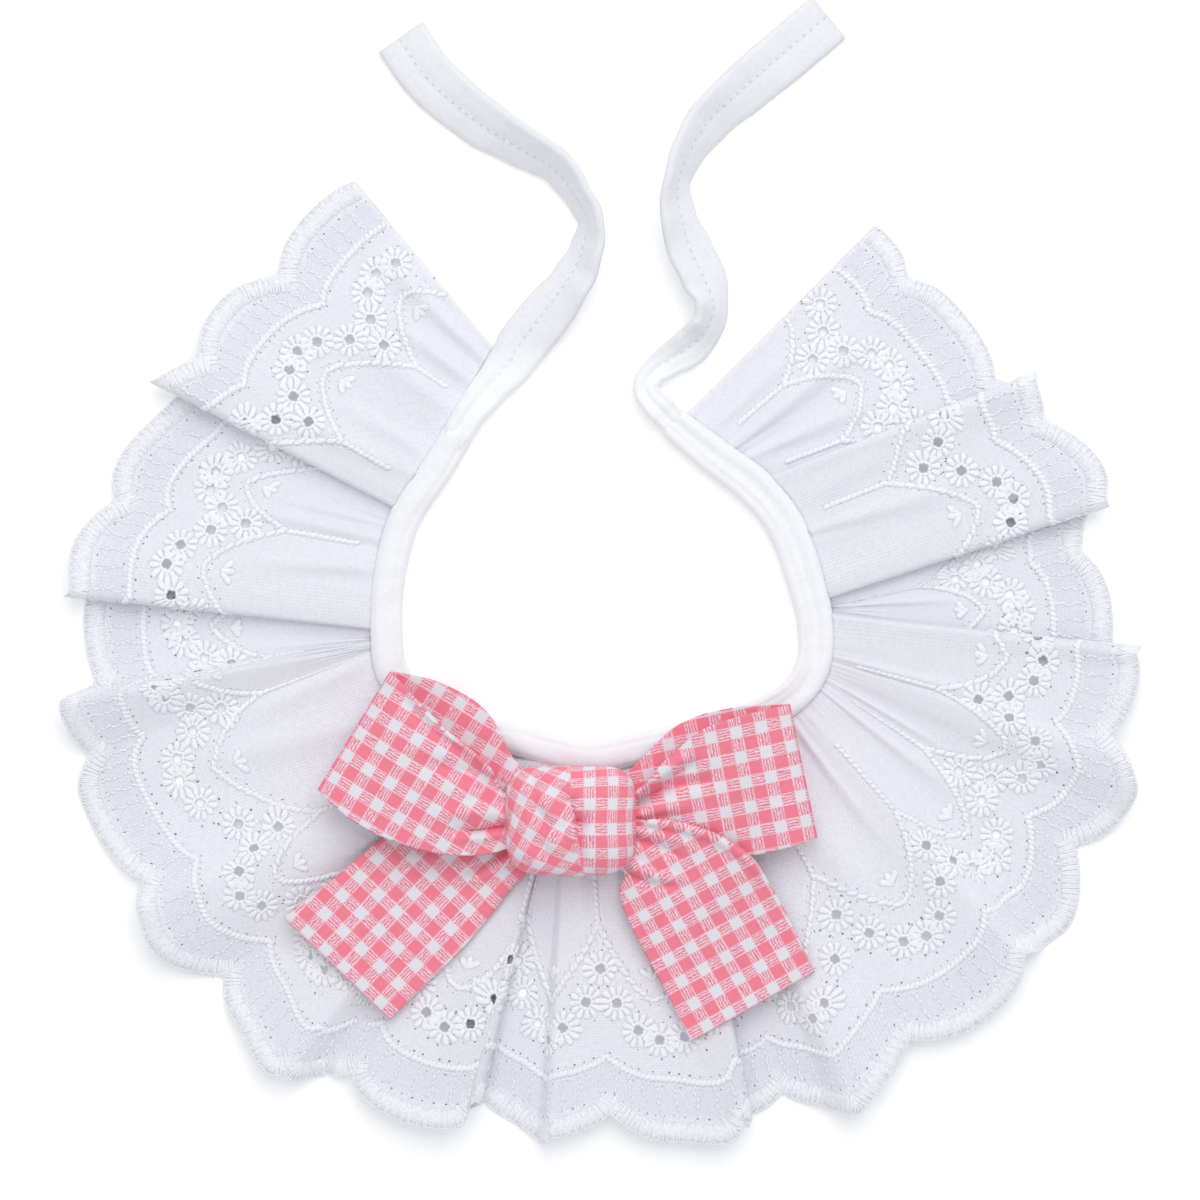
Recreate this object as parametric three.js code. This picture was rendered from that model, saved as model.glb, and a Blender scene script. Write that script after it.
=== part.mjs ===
import * as THREE from "three";

// A small ruffled collar of eyelet lace, laid out flat with its bow towards -Y and its ties towards +Y.
// Millimetres, +Z up, the surface that it lies on at z = 0 and the origin under the middle of its outline.

// Driving dimensions.
const LACE_WALL = 1.0; // embroidered cotton lawn with its raised stitches
const BOW_WALL = 1.2; // gingham strip, sewn double
const SEAM_GAP = 0.5; // parting between the binding and what is sewn into it
const SCALLOP_WIDTH = 33; // one scallop, along the flat lace
const SCALLOP_DEPTH = 7; // from a cusp out to the middle of its scallop
const TAPE_WIDTH = 12.6; // half-inch bias tape, folded, where it runs free as a tie
const TAPE_THICKNESS = 1.6;
const BINDING_HEIGHT = 4.4; // tape wrapped round the gathered top of the lace
const GATHERS_PER_SCALLOP = 2;
const COLUMNS_PER_SCALLOP = 8;

const LACE_MATERIAL = new THREE.MeshStandardMaterial({
  color: 0xf4f5fa,
  roughness: 0.85,
  metalness: 0,
});
const TAPE_MATERIAL = new THREE.MeshStandardMaterial({
  color: 0xf9fafd,
  roughness: 0.7,
  metalness: 0,
});
const BOW_MATERIAL = new THREE.MeshStandardMaterial({
  color: 0xf0a9b9,
  roughness: 0.8,
  metalness: 0,
});

// Turns rows of numbers into objects with one field for each named column.
function table(columns, rows) {
  const names = columns.split(" ");
  return rows.map((row) =>
    Object.fromEntries(names.map((name, i) => [name, row[i]])),
  );
}

const mix = (a, b, t) => a + (b - a) * t;
const clamp = (value, low, high) => Math.min(high, Math.max(low, value));

function smoothstep(low, high, value) {
  const t = clamp((value - low) / (high - low), 0, 1);
  return t * t * (3 - 2 * t);
}

// A smooth curve of one column against another that never swings past its rows.
function columnCurve(rows, along, column) {
  const x = rows.map((row) => row[along]);
  const y = rows.map((row) => row[column]);
  const slope = x.slice(1).map((end, i) => (y[i + 1] - y[i]) / (end - x[i]));
  const tangent = x.map((_, i) => {
    if (i === 0) return slope[0];
    if (i === x.length - 1) return slope[i - 1];
    const before = slope[i - 1];
    const after = slope[i];
    return before * after <= 0 ? 0 : (2 * before * after) / (before + after);
  });
  return (value) => {
    let i = 0;
    while (i < x.length - 2 && value > x[i + 1]) i += 1;
    const span = x[i + 1] - x[i];
    const t = clamp((value - x[i]) / span, 0, 1);
    const rise = t * t * (3 - 2 * t);
    const leave = t * (1 - t) * (1 - t) * span * tangent[i];
    const arrive = t * t * (t - 1) * span * tangent[i + 1];
    return mix(y[i], y[i + 1], rise) + leave + arrive;
  };
}

// A mesh from points and triangles, named for its place in the collar.
function mesh(name, points, triangles, material) {
  const geometry = new THREE.BufferGeometry();
  const position = new Float32Array(points.flatMap((p) => [p.x, p.y, p.z]));
  geometry.setAttribute("position", new THREE.BufferAttribute(position, 3));
  geometry.setIndex(triangles);
  geometry.computeVertexNormals();
  const made = new THREE.Mesh(geometry, material);
  made.name = name;
  return made;
}

// A wall of cloth round a middle surface: middle(i, j) gives its point in column i and row j.
// turn(i, j) says how far the wall's direction turns from the surface's own normal to upright.
// Nothing reaches below the surface that the collar lies on.
function clothWall(name, columns, rows, middle, wall, material, turn) {
  const upright = new THREE.Vector3(0, 0, 1);
  const points = [];
  const at = (i, j) => middle(clamp(i, 0, columns), clamp(j, 0, rows));
  for (const side of [1, -1]) {
    for (let i = 0; i <= columns; i += 1) {
      for (let j = 0; j <= rows; j += 1) {
        const along = at(i + 1, j).sub(at(i - 1, j));
        const across = at(i, j + 1).sub(at(i, j - 1));
        const normal = along.cross(across).normalize();
        normal.lerp(upright, turn ? turn(i, j) : 0).normalize();
        const point = at(i, j).addScaledVector(normal, (side * wall) / 2);
        point.z = Math.max(0, point.z);
        points.push(point);
      }
    }
  }
  const under = (columns + 1) * (rows + 1);
  const index = (i, j) => i * (rows + 1) + j;
  const triangles = [];
  const quad = (a, b, c, d) => triangles.push(a, b, c, a, c, d);
  for (let i = 0; i < columns; i += 1) {
    for (let j = 0; j < rows; j += 1) {
      const [a, b] = [index(i, j), index(i + 1, j)];
      const [c, d] = [index(i + 1, j + 1), index(i, j + 1)];
      quad(a, b, c, d);
      quad(under + d, under + c, under + b, under + a);
    }
  }
  const rim = (a, b) => quad(b, a, under + a, under + b);
  for (let i = 0; i < columns; i += 1) {
    rim(index(i, 0), index(i + 1, 0));
    rim(index(i + 1, rows), index(i, rows));
  }
  for (let j = 0; j < rows; j += 1) {
    rim(index(columns, j), index(columns, j + 1));
    rim(index(0, j + 1), index(0, j));
  }
  return mesh(name, points, triangles, material);
}

// A closed solid through rings of points, each ring anticlockwise as seen looking back along the run.
function loft(name, rings, material) {
  const count = rings[0].length;
  const points = rings.flat();
  const triangles = [];
  for (let k = 0; k < rings.length - 1; k += 1) {
    for (let i = 0; i < count; i += 1) {
      const a = k * count + i;
      const b = k * count + ((i + 1) % count);
      triangles.push(a, b, b + count, a, b + count, a + count);
    }
  }
  const last = (rings.length - 1) * count;
  for (let i = 1; i < count - 1; i += 1) {
    triangles.push(0, i + 1, i);
    triangles.push(last, last + i, last + i + 1);
  }
  return mesh(name, points, triangles, material);
}

// A smooth level path through rows with x and y: its point, heading and any other column by distance.
function levelPath(rows, steps, columns) {
  const corners = rows.map((row) => new THREE.Vector3(row.x, row.y, 0));
  const curve = new THREE.CatmullRomCurve3(corners, false, "centripetal");
  curve.arcLengthDivisions = 400;
  const marks = [];
  for (let k = 0; k <= steps; k += 1) {
    const place = curve.getUtoTmapping(k / steps) * (rows.length - 1);
    const before = Math.min(Math.floor(place), rows.length - 2);
    const mark = {
      point: curve.getPointAt(k / steps),
      heading: curve.getTangentAt(k / steps),
    };
    for (const column of columns)
      mark[column] = mix(
        rows[before][column],
        rows[before + 1][column],
        smoothstep(0, 1, place - before),
      );
    marks.push(mark);
  }
  return marks;
}

// The neck binding: bias tape wrapped round the top of the lace, its flat underside on the surface.
// It runs from the left tie round the front of the neck to the right tie.
const BINDING_ROUTE = table("x y width", [
  [-31.1, 36.7, 7.2],
  [-38.4, 24.4, 7.4],
  [-45.9, 12.9, 7.4],
  [-49.5, 0.2, 7.4],
  [-50.4, -13.2, 7.4],
  [-48.8, -24.0, 7.4],
  [-39.8, -33.4, 7.4],
  [-19.2, -39.6, 7.4],
  [-3.4, -43.5, 7.4],
  [9.8, -41.2, 7.4],
  [32.5, -35.2, 7.4],
  [44.6, -29.2, 7.6],
  [49.5, -22.0, 8.0],
  [50.2, -13.2, 8.4],
  [47.8, -1.9, 8.8],
  [42.4, 12.2, 9.0],
  [35.4, 20.4, 9.0],
  [27.6, 26.3, 8.6],
  [17.0, 34.8, 7.6],
  [13.6, 38.4, 6.8],
]);
const BINDING_STEPS = 60;
const BINDING_SIDES = 12;
const BINDING_SQUARENESS = 0.55;
const bindingMarks = levelPath(BINDING_ROUTE, BINDING_STEPS, ["width"]);
const BINDING_STEP = bindingMarks
  .slice(1)
  .reduce((sum, mark, k) => sum + mark.point.distanceTo(bindingMarks[k].point) / BINDING_STEPS, 0);
const SEAM_OVERRUN = 24; // how far past the binding's ends the lace may be seamed to the ties
const SEAM_SEARCH_STEP = 0.1;

// Left of a level heading.
const leftOf = (heading) => new THREE.Vector3(-heading.y, heading.x, 0);

// One ring of the binding: a rounded section with a flat top and bottom.
function bindingRing(mark) {
  const halfStep = Math.PI / BINDING_SIDES;
  const ring = [];
  for (let i = 0; i < BINDING_SIDES; i += 1) {
    const angle = halfStep + (i * 2 * Math.PI) / BINDING_SIDES;
    const cos = Math.cos(angle) / Math.cos(halfStep);
    const sin = Math.sin(angle) / Math.cos(halfStep);
    const round = (value) =>
      Math.sign(value) * Math.abs(value) ** BINDING_SQUARENESS;
    const aside = (round(cos) * mark.width) / 2;
    const point = mark.point.clone().addScaledVector(leftOf(mark.heading), aside);
    point.z = (BINDING_HEIGHT / 2) * (1 + round(sin));
    ring.push(point);
  }
  return ring;
}

function neckBinding() {
  return loft("neck_binding", bindingMarks.map(bindingRing), TAPE_MATERIAL);
}

// The seam line where the lace is gathered in, on the right of the binding's run and just outside it,
// by distance along the binding. Past the binding's ends it runs straight on.
function seamPoint(distance) {
  const place = distance / BINDING_STEP;
  const before = clamp(Math.floor(place), 0, BINDING_STEPS - 1);
  const t = clamp(place - before, 0, 1);
  const [a, b] = [bindingMarks[before], bindingMarks[before + 1]];
  const heading = a.heading.clone().lerp(b.heading, t).normalize();
  const reach = mix(a.width, b.width, t) / 2 + SEAM_GAP;
  const point = a.point.clone().lerp(b.point, t);
  point.addScaledVector(heading, (place - before - t) * BINDING_STEP);
  return point.addScaledVector(leftOf(heading), -reach);
}

// How far along the binding the seam comes nearest to a given place.
function seamDistance(x, y) {
  const wanted = new THREE.Vector3(x, y, 0);
  let best = 0;
  const last = BINDING_STEP * BINDING_STEPS + SEAM_OVERRUN;
  for (let distance = -SEAM_OVERRUN; distance <= last; distance += SEAM_SEARCH_STEP) {
    const nearer = seamPoint(distance).distanceTo(wanted);
    if (nearer < seamPoint(best).distanceTo(wanted)) best = distance;
  }
  return best;
}

// The lace ruffle. Each row is one straight ray of the cloth from its hem to the seam, counted in
// scallops from the left end: where the hem lies, how high the middle of the wall is at the hem and
// at the seam, and how deep the small gathers stand there. Cusps fall on whole numbers.
const RUFFLE_RAYS = table("scallop hemX hemY hemZ neckX neckY neckZ gather", [
  [0.14, -57.5, 91.4, 1.2, -25.7, 53.1, 1.0, 0],
  [0.55, -70.1, 82.2, 1.6, -28.7, 48.4, 1.2, 0.4],
  [1, -74.5, 68.6, 3.2, -33.6, 41.6, 1.2, 0.6],
  [1.5, -88.7, 63.2, 4.5, -38.4, 29.8, 1.6, 0.5],
  [2, -92.8, 49.1, 6.6, -44.5, 21.1, 3.0, 0.1],
  [3.25, -102.6, 37.8, 0.8, -48.1, 12.2, 0.5, 0],
  [3.5, -110.8, 29.6, 1.0, -49.0, 10.6, 0.7, 0.1],
  [4, -112.3, 16.4, 2.5, -50.6, 5.5, 1.3, 0.6],
  [4.5, -123.3, 4.5, 5.6, -52.5, -4.0, 2.7, 0.2],
  [5.42, -120.9, -8.5, 0.8, -53.7, -15.0, 0.5, 0],
  [5.6, -121.1, -13.6, 0.5, -53.7, -15.5, 0.6, 0],
  [6, -116.1, -26.1, 1.8, -53.7, -16.2, 1.0, 0],
  [6.5, -125.8, -31.0, 8.5, -53.7, -17.4, 1.6, 0],
  [7, -118.8, -42.8, 1.5, -53.5, -18.8, 1.1, 0],
  [7.5, -121.1, -55.5, 0.5, -46.9, -33.1, 1.0, 0.4],
  [8, -106.6, -71.9, 3.5, -29.0, -42.4, 1.4, 0.2],
  [8.3, -107.5, -79.4, 8.0, -25.0, -43.3, 1.6, 0],
  [8.55, -104.2, -88.4, 6.5, -23.4, -43.6, 1.5, 0],
  [9, -87.9, -94.2, 0.5, -21.6, -44.0, 1.4, 0],
  [9.5, -85.0, -105.8, 3.5, -20.0, -44.3, 1.7, 0],
  [10, -73.4, -116.3, 6.0, -18.6, -44.6, 2.2, 0],
  [10.5, -65.0, -117.3, 0.9, -17.0, -44.6, 2.7, 0],
  [11, -57.8, -116.3, 3.6, -15.4, -44.8, 3.1, 0],
  [11.5, -45.0, -128.3, 6.5, -13.4, -44.9, 3.1, 0],
  [11.85, -32.0, -128.1, 8.2, -11.4, -45.0, 3.1, 0],
  [13, -27.4, -123.6, 0.8, -9.0, -45.1, 0.5, 0],
  [13.2, -21.5, -128.3, 0.5, -8.6, -45.1, 0.5, 0],
  [13.42, -14.9, -132.6, 1.6, -8.2, -45.1, 0.6, 0],
  [13.5, -13.7, -133.2, 4.2, -7.8, -45.1, 0.8, 0],
  [13.62, -11.6, -132.0, 6.5, -7.2, -45.2, 1.1, 0],
  [14, 2.0, -126.0, 5.2, -3.2, -45.6, 1.5, 0],
  [14.5, 16.6, -132.8, 5.2, 4.8, -44.6, 2.2, 0],
  [14.9, 31.5, -131.6, 7.2, 14.6, -42.6, 3.1, 0],
  [15.74, 35.8, -126.7, 0.8, 18.8, -41.6, 0.5, 0],
  [16, 42.4, -121.5, 0.5, 19.9, -41.4, 0.6, 0],
  [16.3, 52.5, -125.0, 2.6, 21.6, -40.9, 0.9, 0],
  [16.55, 59.6, -125.9, 8.0, 23.4, -40.4, 1.2, 0],
  [16.7, 62.4, -122.8, 8.2, 25.2, -40.0, 1.3, 0],
  [17, 71.6, -109.0, 4.6, 31.4, -39.0, 1.4, 0.1],
  [17.5, 88.9, -105.0, 4.4, 43.0, -34.6, 1.4, 0.2],
  [17.95, 98.0, -91.0, 7.5, 47.4, -33.0, 1.5, 0],
  [18.1, 101.0, -88.5, 5.0, 48.9, -31.8, 1.3, 0],
  [18.3, 103.6, -87.6, 1.0, 50.3, -30.4, 1.1, 0],
  [18.5, 109.6, -83.0, 0.5, 51.5, -29.0, 1.0, 0],
  [19, 110.2, -63.9, 1.0, 53.2, -26.6, 1.0, 0],
  [19.4, 121.4, -57.8, 2.8, 54.0, -24.6, 1.2, 0],
  [19.6, 124.4, -50.1, 7.5, 54.2, -23.4, 1.5, 0],
  [19.75, 122.6, -45.0, 8.2, 54.4, -22.4, 1.8, 0],
  [20, 117.4, -38.1, 6.3, 54.6, -20.6, 2.2, 0.1],
  [20.5, 124.9, -23.0, 6.8, 54.6, -16.2, 2.9, 0.1],
  [21.27, 119.3, -17.4, 0.8, 53.7, -9.3, 0.5, 0],
  [21.5, 119.5, -9.4, 0.5, 53.5, -8.7, 0.5, 0],
  [22, 111.3, 4.7, 1.0, 53.2, -8.0, 0.5, 0],
  [22.25, 112.5, 11.4, 0.9, 53.2, -7.4, 0.5, 0],
  [23.5, 117.1, 23.0, 7.0, 50.2, 4.0, 2.7, 0.1],
  [24, 102.1, 34.8, 6.8, 45.5, 12.2, 2.7, 0.2],
  [25, 91.5, 43.7, 0.8, 37.2, 22.6, 0.5, 0],
  [25.5, 85.7, 59.2, 0.5, 32.5, 27.5, 0.9, 0.5],
  [26, 71.1, 68.1, 1.4, 28.3, 31.5, 1.2, 0.4],
  [26.47, 63.9, 81.2, 0.6, 21.0, 38.2, 1.0, 0],
]);

// The pressed pleats, where the cloth lies three deep. Each row gives the fold's tip, how far its back
// is tucked under, and the heights of its three layers at the hem. A falling pleat has its top
// layer before the tip and a rising one after it.
const PLEATS = table("from to tipX tipY backX backY neckX neckY top middle low rising", [
  [2.4, 3.2, -104.7, 44.2, -94.4, 47.9, -47.4, 14.6, 8.5, 4.0, 1.0, 0],
  [4.8, 5.4, -124.9, -5.6, -116.7, 0.5, -53.5, -13.2, 7.5, 3.8, 1.0, 0],
  [12.05, 12.95, -28.3, -123.6, -41.7, -122.7, -9.6, -45.1, 8.4, 4.0, 1.0, 0],
  [15.05, 15.7, 34.9, -127.4, 24.6, -126.9, 18.2, -41.8, 7.4, 3.8, 1.0, 0],
  [20.7, 21.25, 125.4, -17.6, 120.0, -23.5, 53.7, -10.2, 8.0, 4.0, 1.0, 0],
  [22.4, 23.18, 117.9, 15.3, 113.2, 24.4, 52.8, -6.2, 7.3, 4.2, 1.2, 1],
  [24.4, 25, 100.9, 46.5, 100.7, 39.9, 38.7, 21.1, 8.4, 4.0, 1.0, 0],
]);
const NECK_LAYERS = { top: 3.1, middle: 1.8, low: 0.5 };
const NECK_TUCK = 3; // how far a pleat's back is tucked under at the seam
const FOLD_TURN = 0.07; // scallops of cloth in half of a fold
const HEM_BEND = 2.0; // how far in from its edge a fold starts to bend
const NECK_BEND = 0.6;

// The six rays that carry the cloth round a pleat's tip and its back.
function pleatRays(pleat) {
  const tip = new THREE.Vector3(pleat.tipX, pleat.tipY, 0);
  const back = new THREE.Vector3(pleat.backX, pleat.backY, 0);
  const inward = back.clone().sub(tip).normalize();
  const middle = (pleat.from + pleat.to) / 2;
  const tipAt = pleat.rising ? pleat.to : pleat.from;
  const order = pleat.rising ? -1 : 1;
  const ray = (edge, bend, scallop, levels) => {
    const atTip = edge === tip;
    const hem = edge.clone().addScaledVector(inward, (atTip ? 1 : -1) * bend * HEM_BEND);
    const tuck = (atTip ? 0 : NECK_TUCK) + (atTip ? 1 : -1) * bend * NECK_BEND;
    const neck = seamDistance(pleat.neckX, pleat.neckY) - order * tuck;
    const height = (layers) => levels.reduce((sum, level) => sum + layers[level], 0) / levels.length;
    return {
      scallop,
      hemX: hem.x,
      hemY: hem.y,
      hemZ: height(pleat),
      neck,
      neckZ: height(NECK_LAYERS),
      gather: 0,
      fold: 1,
    };
  };
  return [
    ray(tip, 1, tipAt - order * FOLD_TURN, ["top"]),
    ray(tip, 0, tipAt, ["top", "middle"]),
    ray(tip, 1, tipAt + order * FOLD_TURN, ["middle"]),
    ray(back, 1, middle - order * FOLD_TURN, ["middle"]),
    ray(back, 0, middle, ["middle", "low"]),
    ray(back, 1, middle + order * FOLD_TURN, ["low"]),
  ];
}

const rays = [
  ...RUFFLE_RAYS.map((row) => ({ ...row, neck: seamDistance(row.neckX, row.neckY), fold: 0 })),
  ...PLEATS.flatMap(pleatRays),
].sort((a, b) => a.scallop - b.scallop);
const raysAt = Object.fromEntries(
  ["hemZ", "neck", "neckZ", "gather", "fold"].map((column) => [
    column,
    columnCurve(rays, "scallop", column),
  ]),
);

// How far the scalloped edge stands out from its cusps: a round arch over each whole number.
function scallopReach(scallop) {
  const half = SCALLOP_WIDTH / 2;
  const radius = (half * half + SCALLOP_DEPTH * SCALLOP_DEPTH) / (2 * SCALLOP_DEPTH);
  const aside = (scallop - Math.floor(scallop) - 0.5) * SCALLOP_WIDTH;
  return Math.sqrt(radius * radius - aside * aside) - (radius - SCALLOP_DEPTH);
}

// The rays' own hem points, drawn back to the line of the cusps, so that the arches can be added.
const cuspLine = rays.map((ray) => {
  const hem = new THREE.Vector3(ray.hemX, ray.hemY, 0);
  const outward = hem.clone().sub(seamPoint(ray.neck)).normalize();
  hem.addScaledVector(outward, -scallopReach(ray.scallop));
  return { scallop: ray.scallop, x: hem.x, y: hem.y };
});
const cuspX = columnCurve(cuspLine, "scallop", "x");
const cuspY = columnCurve(cuspLine, "scallop", "y");

// A point of the ruffle's middle surface, from 0 at the hem to 1 at the seam.
function rufflePoint(scallop, inward) {
  const neck = seamPoint(raysAt.neck(scallop));
  const hem = new THREE.Vector3(cuspX(scallop), cuspY(scallop), 0);
  const outward = hem.clone().sub(neck).normalize();
  hem.addScaledVector(outward, scallopReach(scallop));
  const point = hem.lerp(neck, inward);
  const wave = 0.5 - 0.5 * Math.cos(2 * Math.PI * GATHERS_PER_SCALLOP * scallop);
  const gather = raysAt.gather(scallop) * wave * smoothstep(0.35, 1, inward);
  point.z = mix(raysAt.hemZ(scallop), raysAt.neckZ(scallop), inward) + gather;
  return point;
}

// Rows across the ruffle, as shares of the way from the hem to the seam.
const RUFFLE_ROWS = [0, 0.12, 0.3, 0.5, 0.7, 0.87, 1];

// The strip is one length of cloth. Its solids are parted where a pleat's lowest layer hides the end.
const RUFFLE_PARTS = table("name from to", [
  ["ruffle_left_shoulder", 0.14, 5.28],
  ["ruffle_left_front", 5.32, 12.73],
  ["ruffle_right_front", 12.77, 21.13],
  ["ruffle_right_shoulder", 21.17, 26.47],
]);
const COLUMN_CLEARANCE = 0.05; // scallops of cloth that keep two columns apart

// Columns of one part: every ray, every cusp, and even steps between them.
function ruffleColumns(part) {
  const inside = (scallop) =>
    scallop > part.from + COLUMN_CLEARANCE && scallop < part.to - COLUMN_CLEARANCE;
  const stops = [part.from, part.to, ...rays.map((ray) => ray.scallop).filter(inside)];
  for (let cusp = Math.ceil(part.from); cusp < part.to; cusp += 1)
    if (stops.every((stop) => Math.abs(stop - cusp) > COLUMN_CLEARANCE)) stops.push(cusp);
  stops.sort((a, b) => a - b);
  const columns = [stops[0]];
  for (let k = 1; k < stops.length; k += 1) {
    const span = stops[k] - stops[k - 1];
    const steps = Math.max(1, Math.round(span * COLUMNS_PER_SCALLOP));
    for (let i = 1; i <= steps; i += 1) columns.push(stops[k - 1] + (span * i) / steps);
  }
  return columns;
}

function ruffle(part) {
  const columns = ruffleColumns(part);
  const middle = (i, j) => rufflePoint(columns[i], RUFFLE_ROWS[j]);
  const turn = (i, j) =>
    (1 - raysAt.fold(columns[i])) * smoothstep(0, 1, RUFFLE_ROWS[j]);
  return clothWall(
    part.name,
    columns.length - 1,
    RUFFLE_ROWS.length - 1,
    middle,
    LACE_WALL,
    LACE_MATERIAL,
    turn,
  );
}

// The ties: the same tape running on free from the ends of the binding, each from its cut end inwards.
// The roll lifts the edge on the left of the run, and the other edge rests on the surface.
const LEFT_TIE = table("x y width thickness roll", [
  [-47.0, 125.4, TAPE_WIDTH, TAPE_THICKNESS, 4],
  [-40.6, 116.2, TAPE_WIDTH, TAPE_THICKNESS, 14],
  [-29.8, 106.6, TAPE_WIDTH, TAPE_THICKNESS, 28],
  [-19.9, 100.1, TAPE_WIDTH, TAPE_THICKNESS, 46],
  [-10.4, 94.5, TAPE_WIDTH, TAPE_THICKNESS, 60],
  [-4.8, 86.7, TAPE_WIDTH, TAPE_THICKNESS, 66],
  [-2.5, 82.2, TAPE_WIDTH, TAPE_THICKNESS, 66],
  [-3.4, 75.9, TAPE_WIDTH, TAPE_THICKNESS, 58],
  [-6.7, 68.6, TAPE_WIDTH, TAPE_THICKNESS, 40],
  [-13.0, 60.2, TAPE_WIDTH, TAPE_THICKNESS, 8],
  [-18.0, 54.1, 12.0, 1.8, 0],
  [-21.6, 48.6, 10.0, 2.4, 0],
  [-25.7, 43.6, 7.6, 3.2, 0],
  [-31.1, 36.7, 7.0, 4.0, 0],
]);
const RIGHT_TIE = table("x y width thickness roll", [
  [53.2, 130.0, TAPE_WIDTH, TAPE_THICKNESS, -4],
  [43.8, 122.0, TAPE_WIDTH, TAPE_THICKNESS, -10],
  [34.9, 114.4, TAPE_WIDTH, TAPE_THICKNESS, -26],
  [25.7, 106.0, TAPE_WIDTH, TAPE_THICKNESS, -42],
  [20.6, 98.9, TAPE_WIDTH, TAPE_THICKNESS, -56],
  [17.7, 91.4, TAPE_WIDTH, TAPE_THICKNESS, -64],
  [18.0, 83.4, TAPE_WIDTH, TAPE_THICKNESS, -52],
  [20.6, 75.7, TAPE_WIDTH, TAPE_THICKNESS, -32],
  [23.8, 69.1, TAPE_WIDTH, TAPE_THICKNESS, -34],
  [25.8, 62.6, 11.0, TAPE_THICKNESS, -50],
  [24.6, 57.2, 10.0, 1.8, -46],
  [20.6, 52.6, 9.0, 2.2, -24],
  [15.6, 49.4, 7.4, 2.8, -8],
  [11.8, 46.4, 6.0, 3.4, 0],
  [10.2, 43.2, 5.6, 3.8, 0],
  [11.6, 40.4, 6.0, 4.0, 0],
  [13.6, 38.4, 6.6, 4.2, 0],
]);
const TIE_STEPS = 40;
const TIE_CHAMFER = 0.4; // share of the thickness taken off each corner
const TIE_END_GAP = 0.7; // parting between a tie and the end of the binding

// One ring of a tie: a thin strip with eased corners, rolled about its run.
function tieRing(mark) {
  const roll = THREE.MathUtils.degToRad(mark.roll);
  const left = leftOf(mark.heading);
  const across = left.clone().multiplyScalar(Math.cos(roll)).setZ(Math.sin(roll));
  const up = left.clone().multiplyScalar(-Math.sin(roll)).setZ(Math.cos(roll));
  const halfWidth = mark.width / 2;
  const half = mark.thickness / 2;
  const eased = halfWidth - mark.thickness * TIE_CHAMFER;
  const easedUp = half * TIE_CHAMFER;
  const section = [
    [-eased, -half],
    [eased, -half],
    [halfWidth, -easedUp],
    [halfWidth, easedUp],
    [eased, half],
    [-eased, half],
    [-halfWidth, easedUp],
    [-halfWidth, -easedUp],
  ];
  const ring = section.map(([aside, above]) =>
    mark.point.clone().addScaledVector(across, aside).addScaledVector(up, above),
  );
  const lowest = Math.min(...ring.map((point) => point.z));
  return ring.map((point) => point.setZ(point.z - lowest));
}

function tie(name, rows) {
  const marks = levelPath(rows, TIE_STEPS, ["width", "thickness", "roll"]);
  const end = marks[TIE_STEPS];
  end.point.addScaledVector(end.heading, -TIE_END_GAP);
  return loft(name, marks.map(tieRing), TAPE_MATERIAL);
}

// The bow's loops and tails: strips of gingham given by their two edges, from the knot outwards.
// A loop runs out as the front layer, turns at its far end and comes back as the layer behind.
const STRIP_COLUMNS = "footX footY footZ headX headY headZ";
const LEFT_LOOP = table(STRIP_COLUMNS, [
  [-22.6, -64.2, 11.6, -22.6, -51.4, 14.0],
  [-27.6, -65.4, 12.4, -25.9, -45.3, 15.6],
  [-38.0, -65.0, 13.6, -36.1, -36.4, 17.2],
  [-51.1, -60.9, 14.4, -43.4, -28.9, 16.6],
  [-60.0, -55.6, 14.0, -47.1, -24.8, 14.6],
  [-65.3, -50.6, 11.4, -48.7, -23.5, 11.6],
  [-61.4, -53.6, 8.8, -46.4, -23.6, 8.8],
  [-50.9, -58.6, 8.4, -38.0, -25.6, 7.6],
  [-35.6, -61.4, 8.4, -27.0, -32.2, 7.0],
  [-23.4, -61.6, 9.4, -20.6, -43.2, 8.4],
]);
const RIGHT_LOOP = table(STRIP_COLUMNS, [
  [8.7, -63.0, 9.8, 8.6, -50.4, 14.0],
  [14.9, -65.6, 9.6, 14.9, -43.7, 15.4],
  [24.3, -67.0, 9.6, 23.1, -36.6, 16.8],
  [34.9, -65.8, 10.4, 32.5, -33.3, 16.2],
  [45.0, -63.3, 12.4, 39.8, -31.5, 14.2],
  [49.6, -61.7, 10.0, 43.2, -30.8, 11.4],
  [45.6, -62.6, 7.4, 39.9, -31.0, 8.6],
  [34.9, -63.8, 7.0, 28.3, -32.0, 7.4],
  [23.1, -63.4, 6.6, 18.0, -35.6, 7.0],
  [12.8, -60.6, 7.0, 8.6, -44.2, 8.2],
]);
const LEFT_TAIL = table(STRIP_COLUMNS, [
  [-17.9, -70.4, 7.0, -23.4, -58.6, 5.7],
  [-20.6, -73.0, 6.6, -29.4, -57.0, 5.7],
  [-24.8, -78.5, 6.2, -38.0, -57.6, 5.9],
  [-32.3, -87.7, 6.2, -49.2, -61.1, 6.2],
  [-40.8, -95.9, 6.5, -61.5, -70.7, 6.6],
  [-49.2, -104.3, 7.0, -74.1, -80.6, 7.0],
]);
const RIGHT_TAIL = table(STRIP_COLUMNS, [
  [10.2, -57.3, 13.9, 5.6, -70.6, 8.6],
  [16.6, -57.6, 14.0, 4.4, -74.4, 8.0],
  [26.0, -60.6, 13.4, 5.8, -79.9, 7.4],
  [33.7, -65.3, 12.6, 10.5, -89.3, 7.1],
  [39.1, -72.4, 10.0, 14.5, -96.8, 7.1],
  [44.8, -83.0, 8.0, 18.0, -103.6, 7.5],
  [49.6, -93.1, 7.5, 20.8, -109.3, 7.8],
]);
const STRIP_ROWS = 6; // across a strip's width
const LOOP_STEPS = 26; // along a loop, out and back
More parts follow.
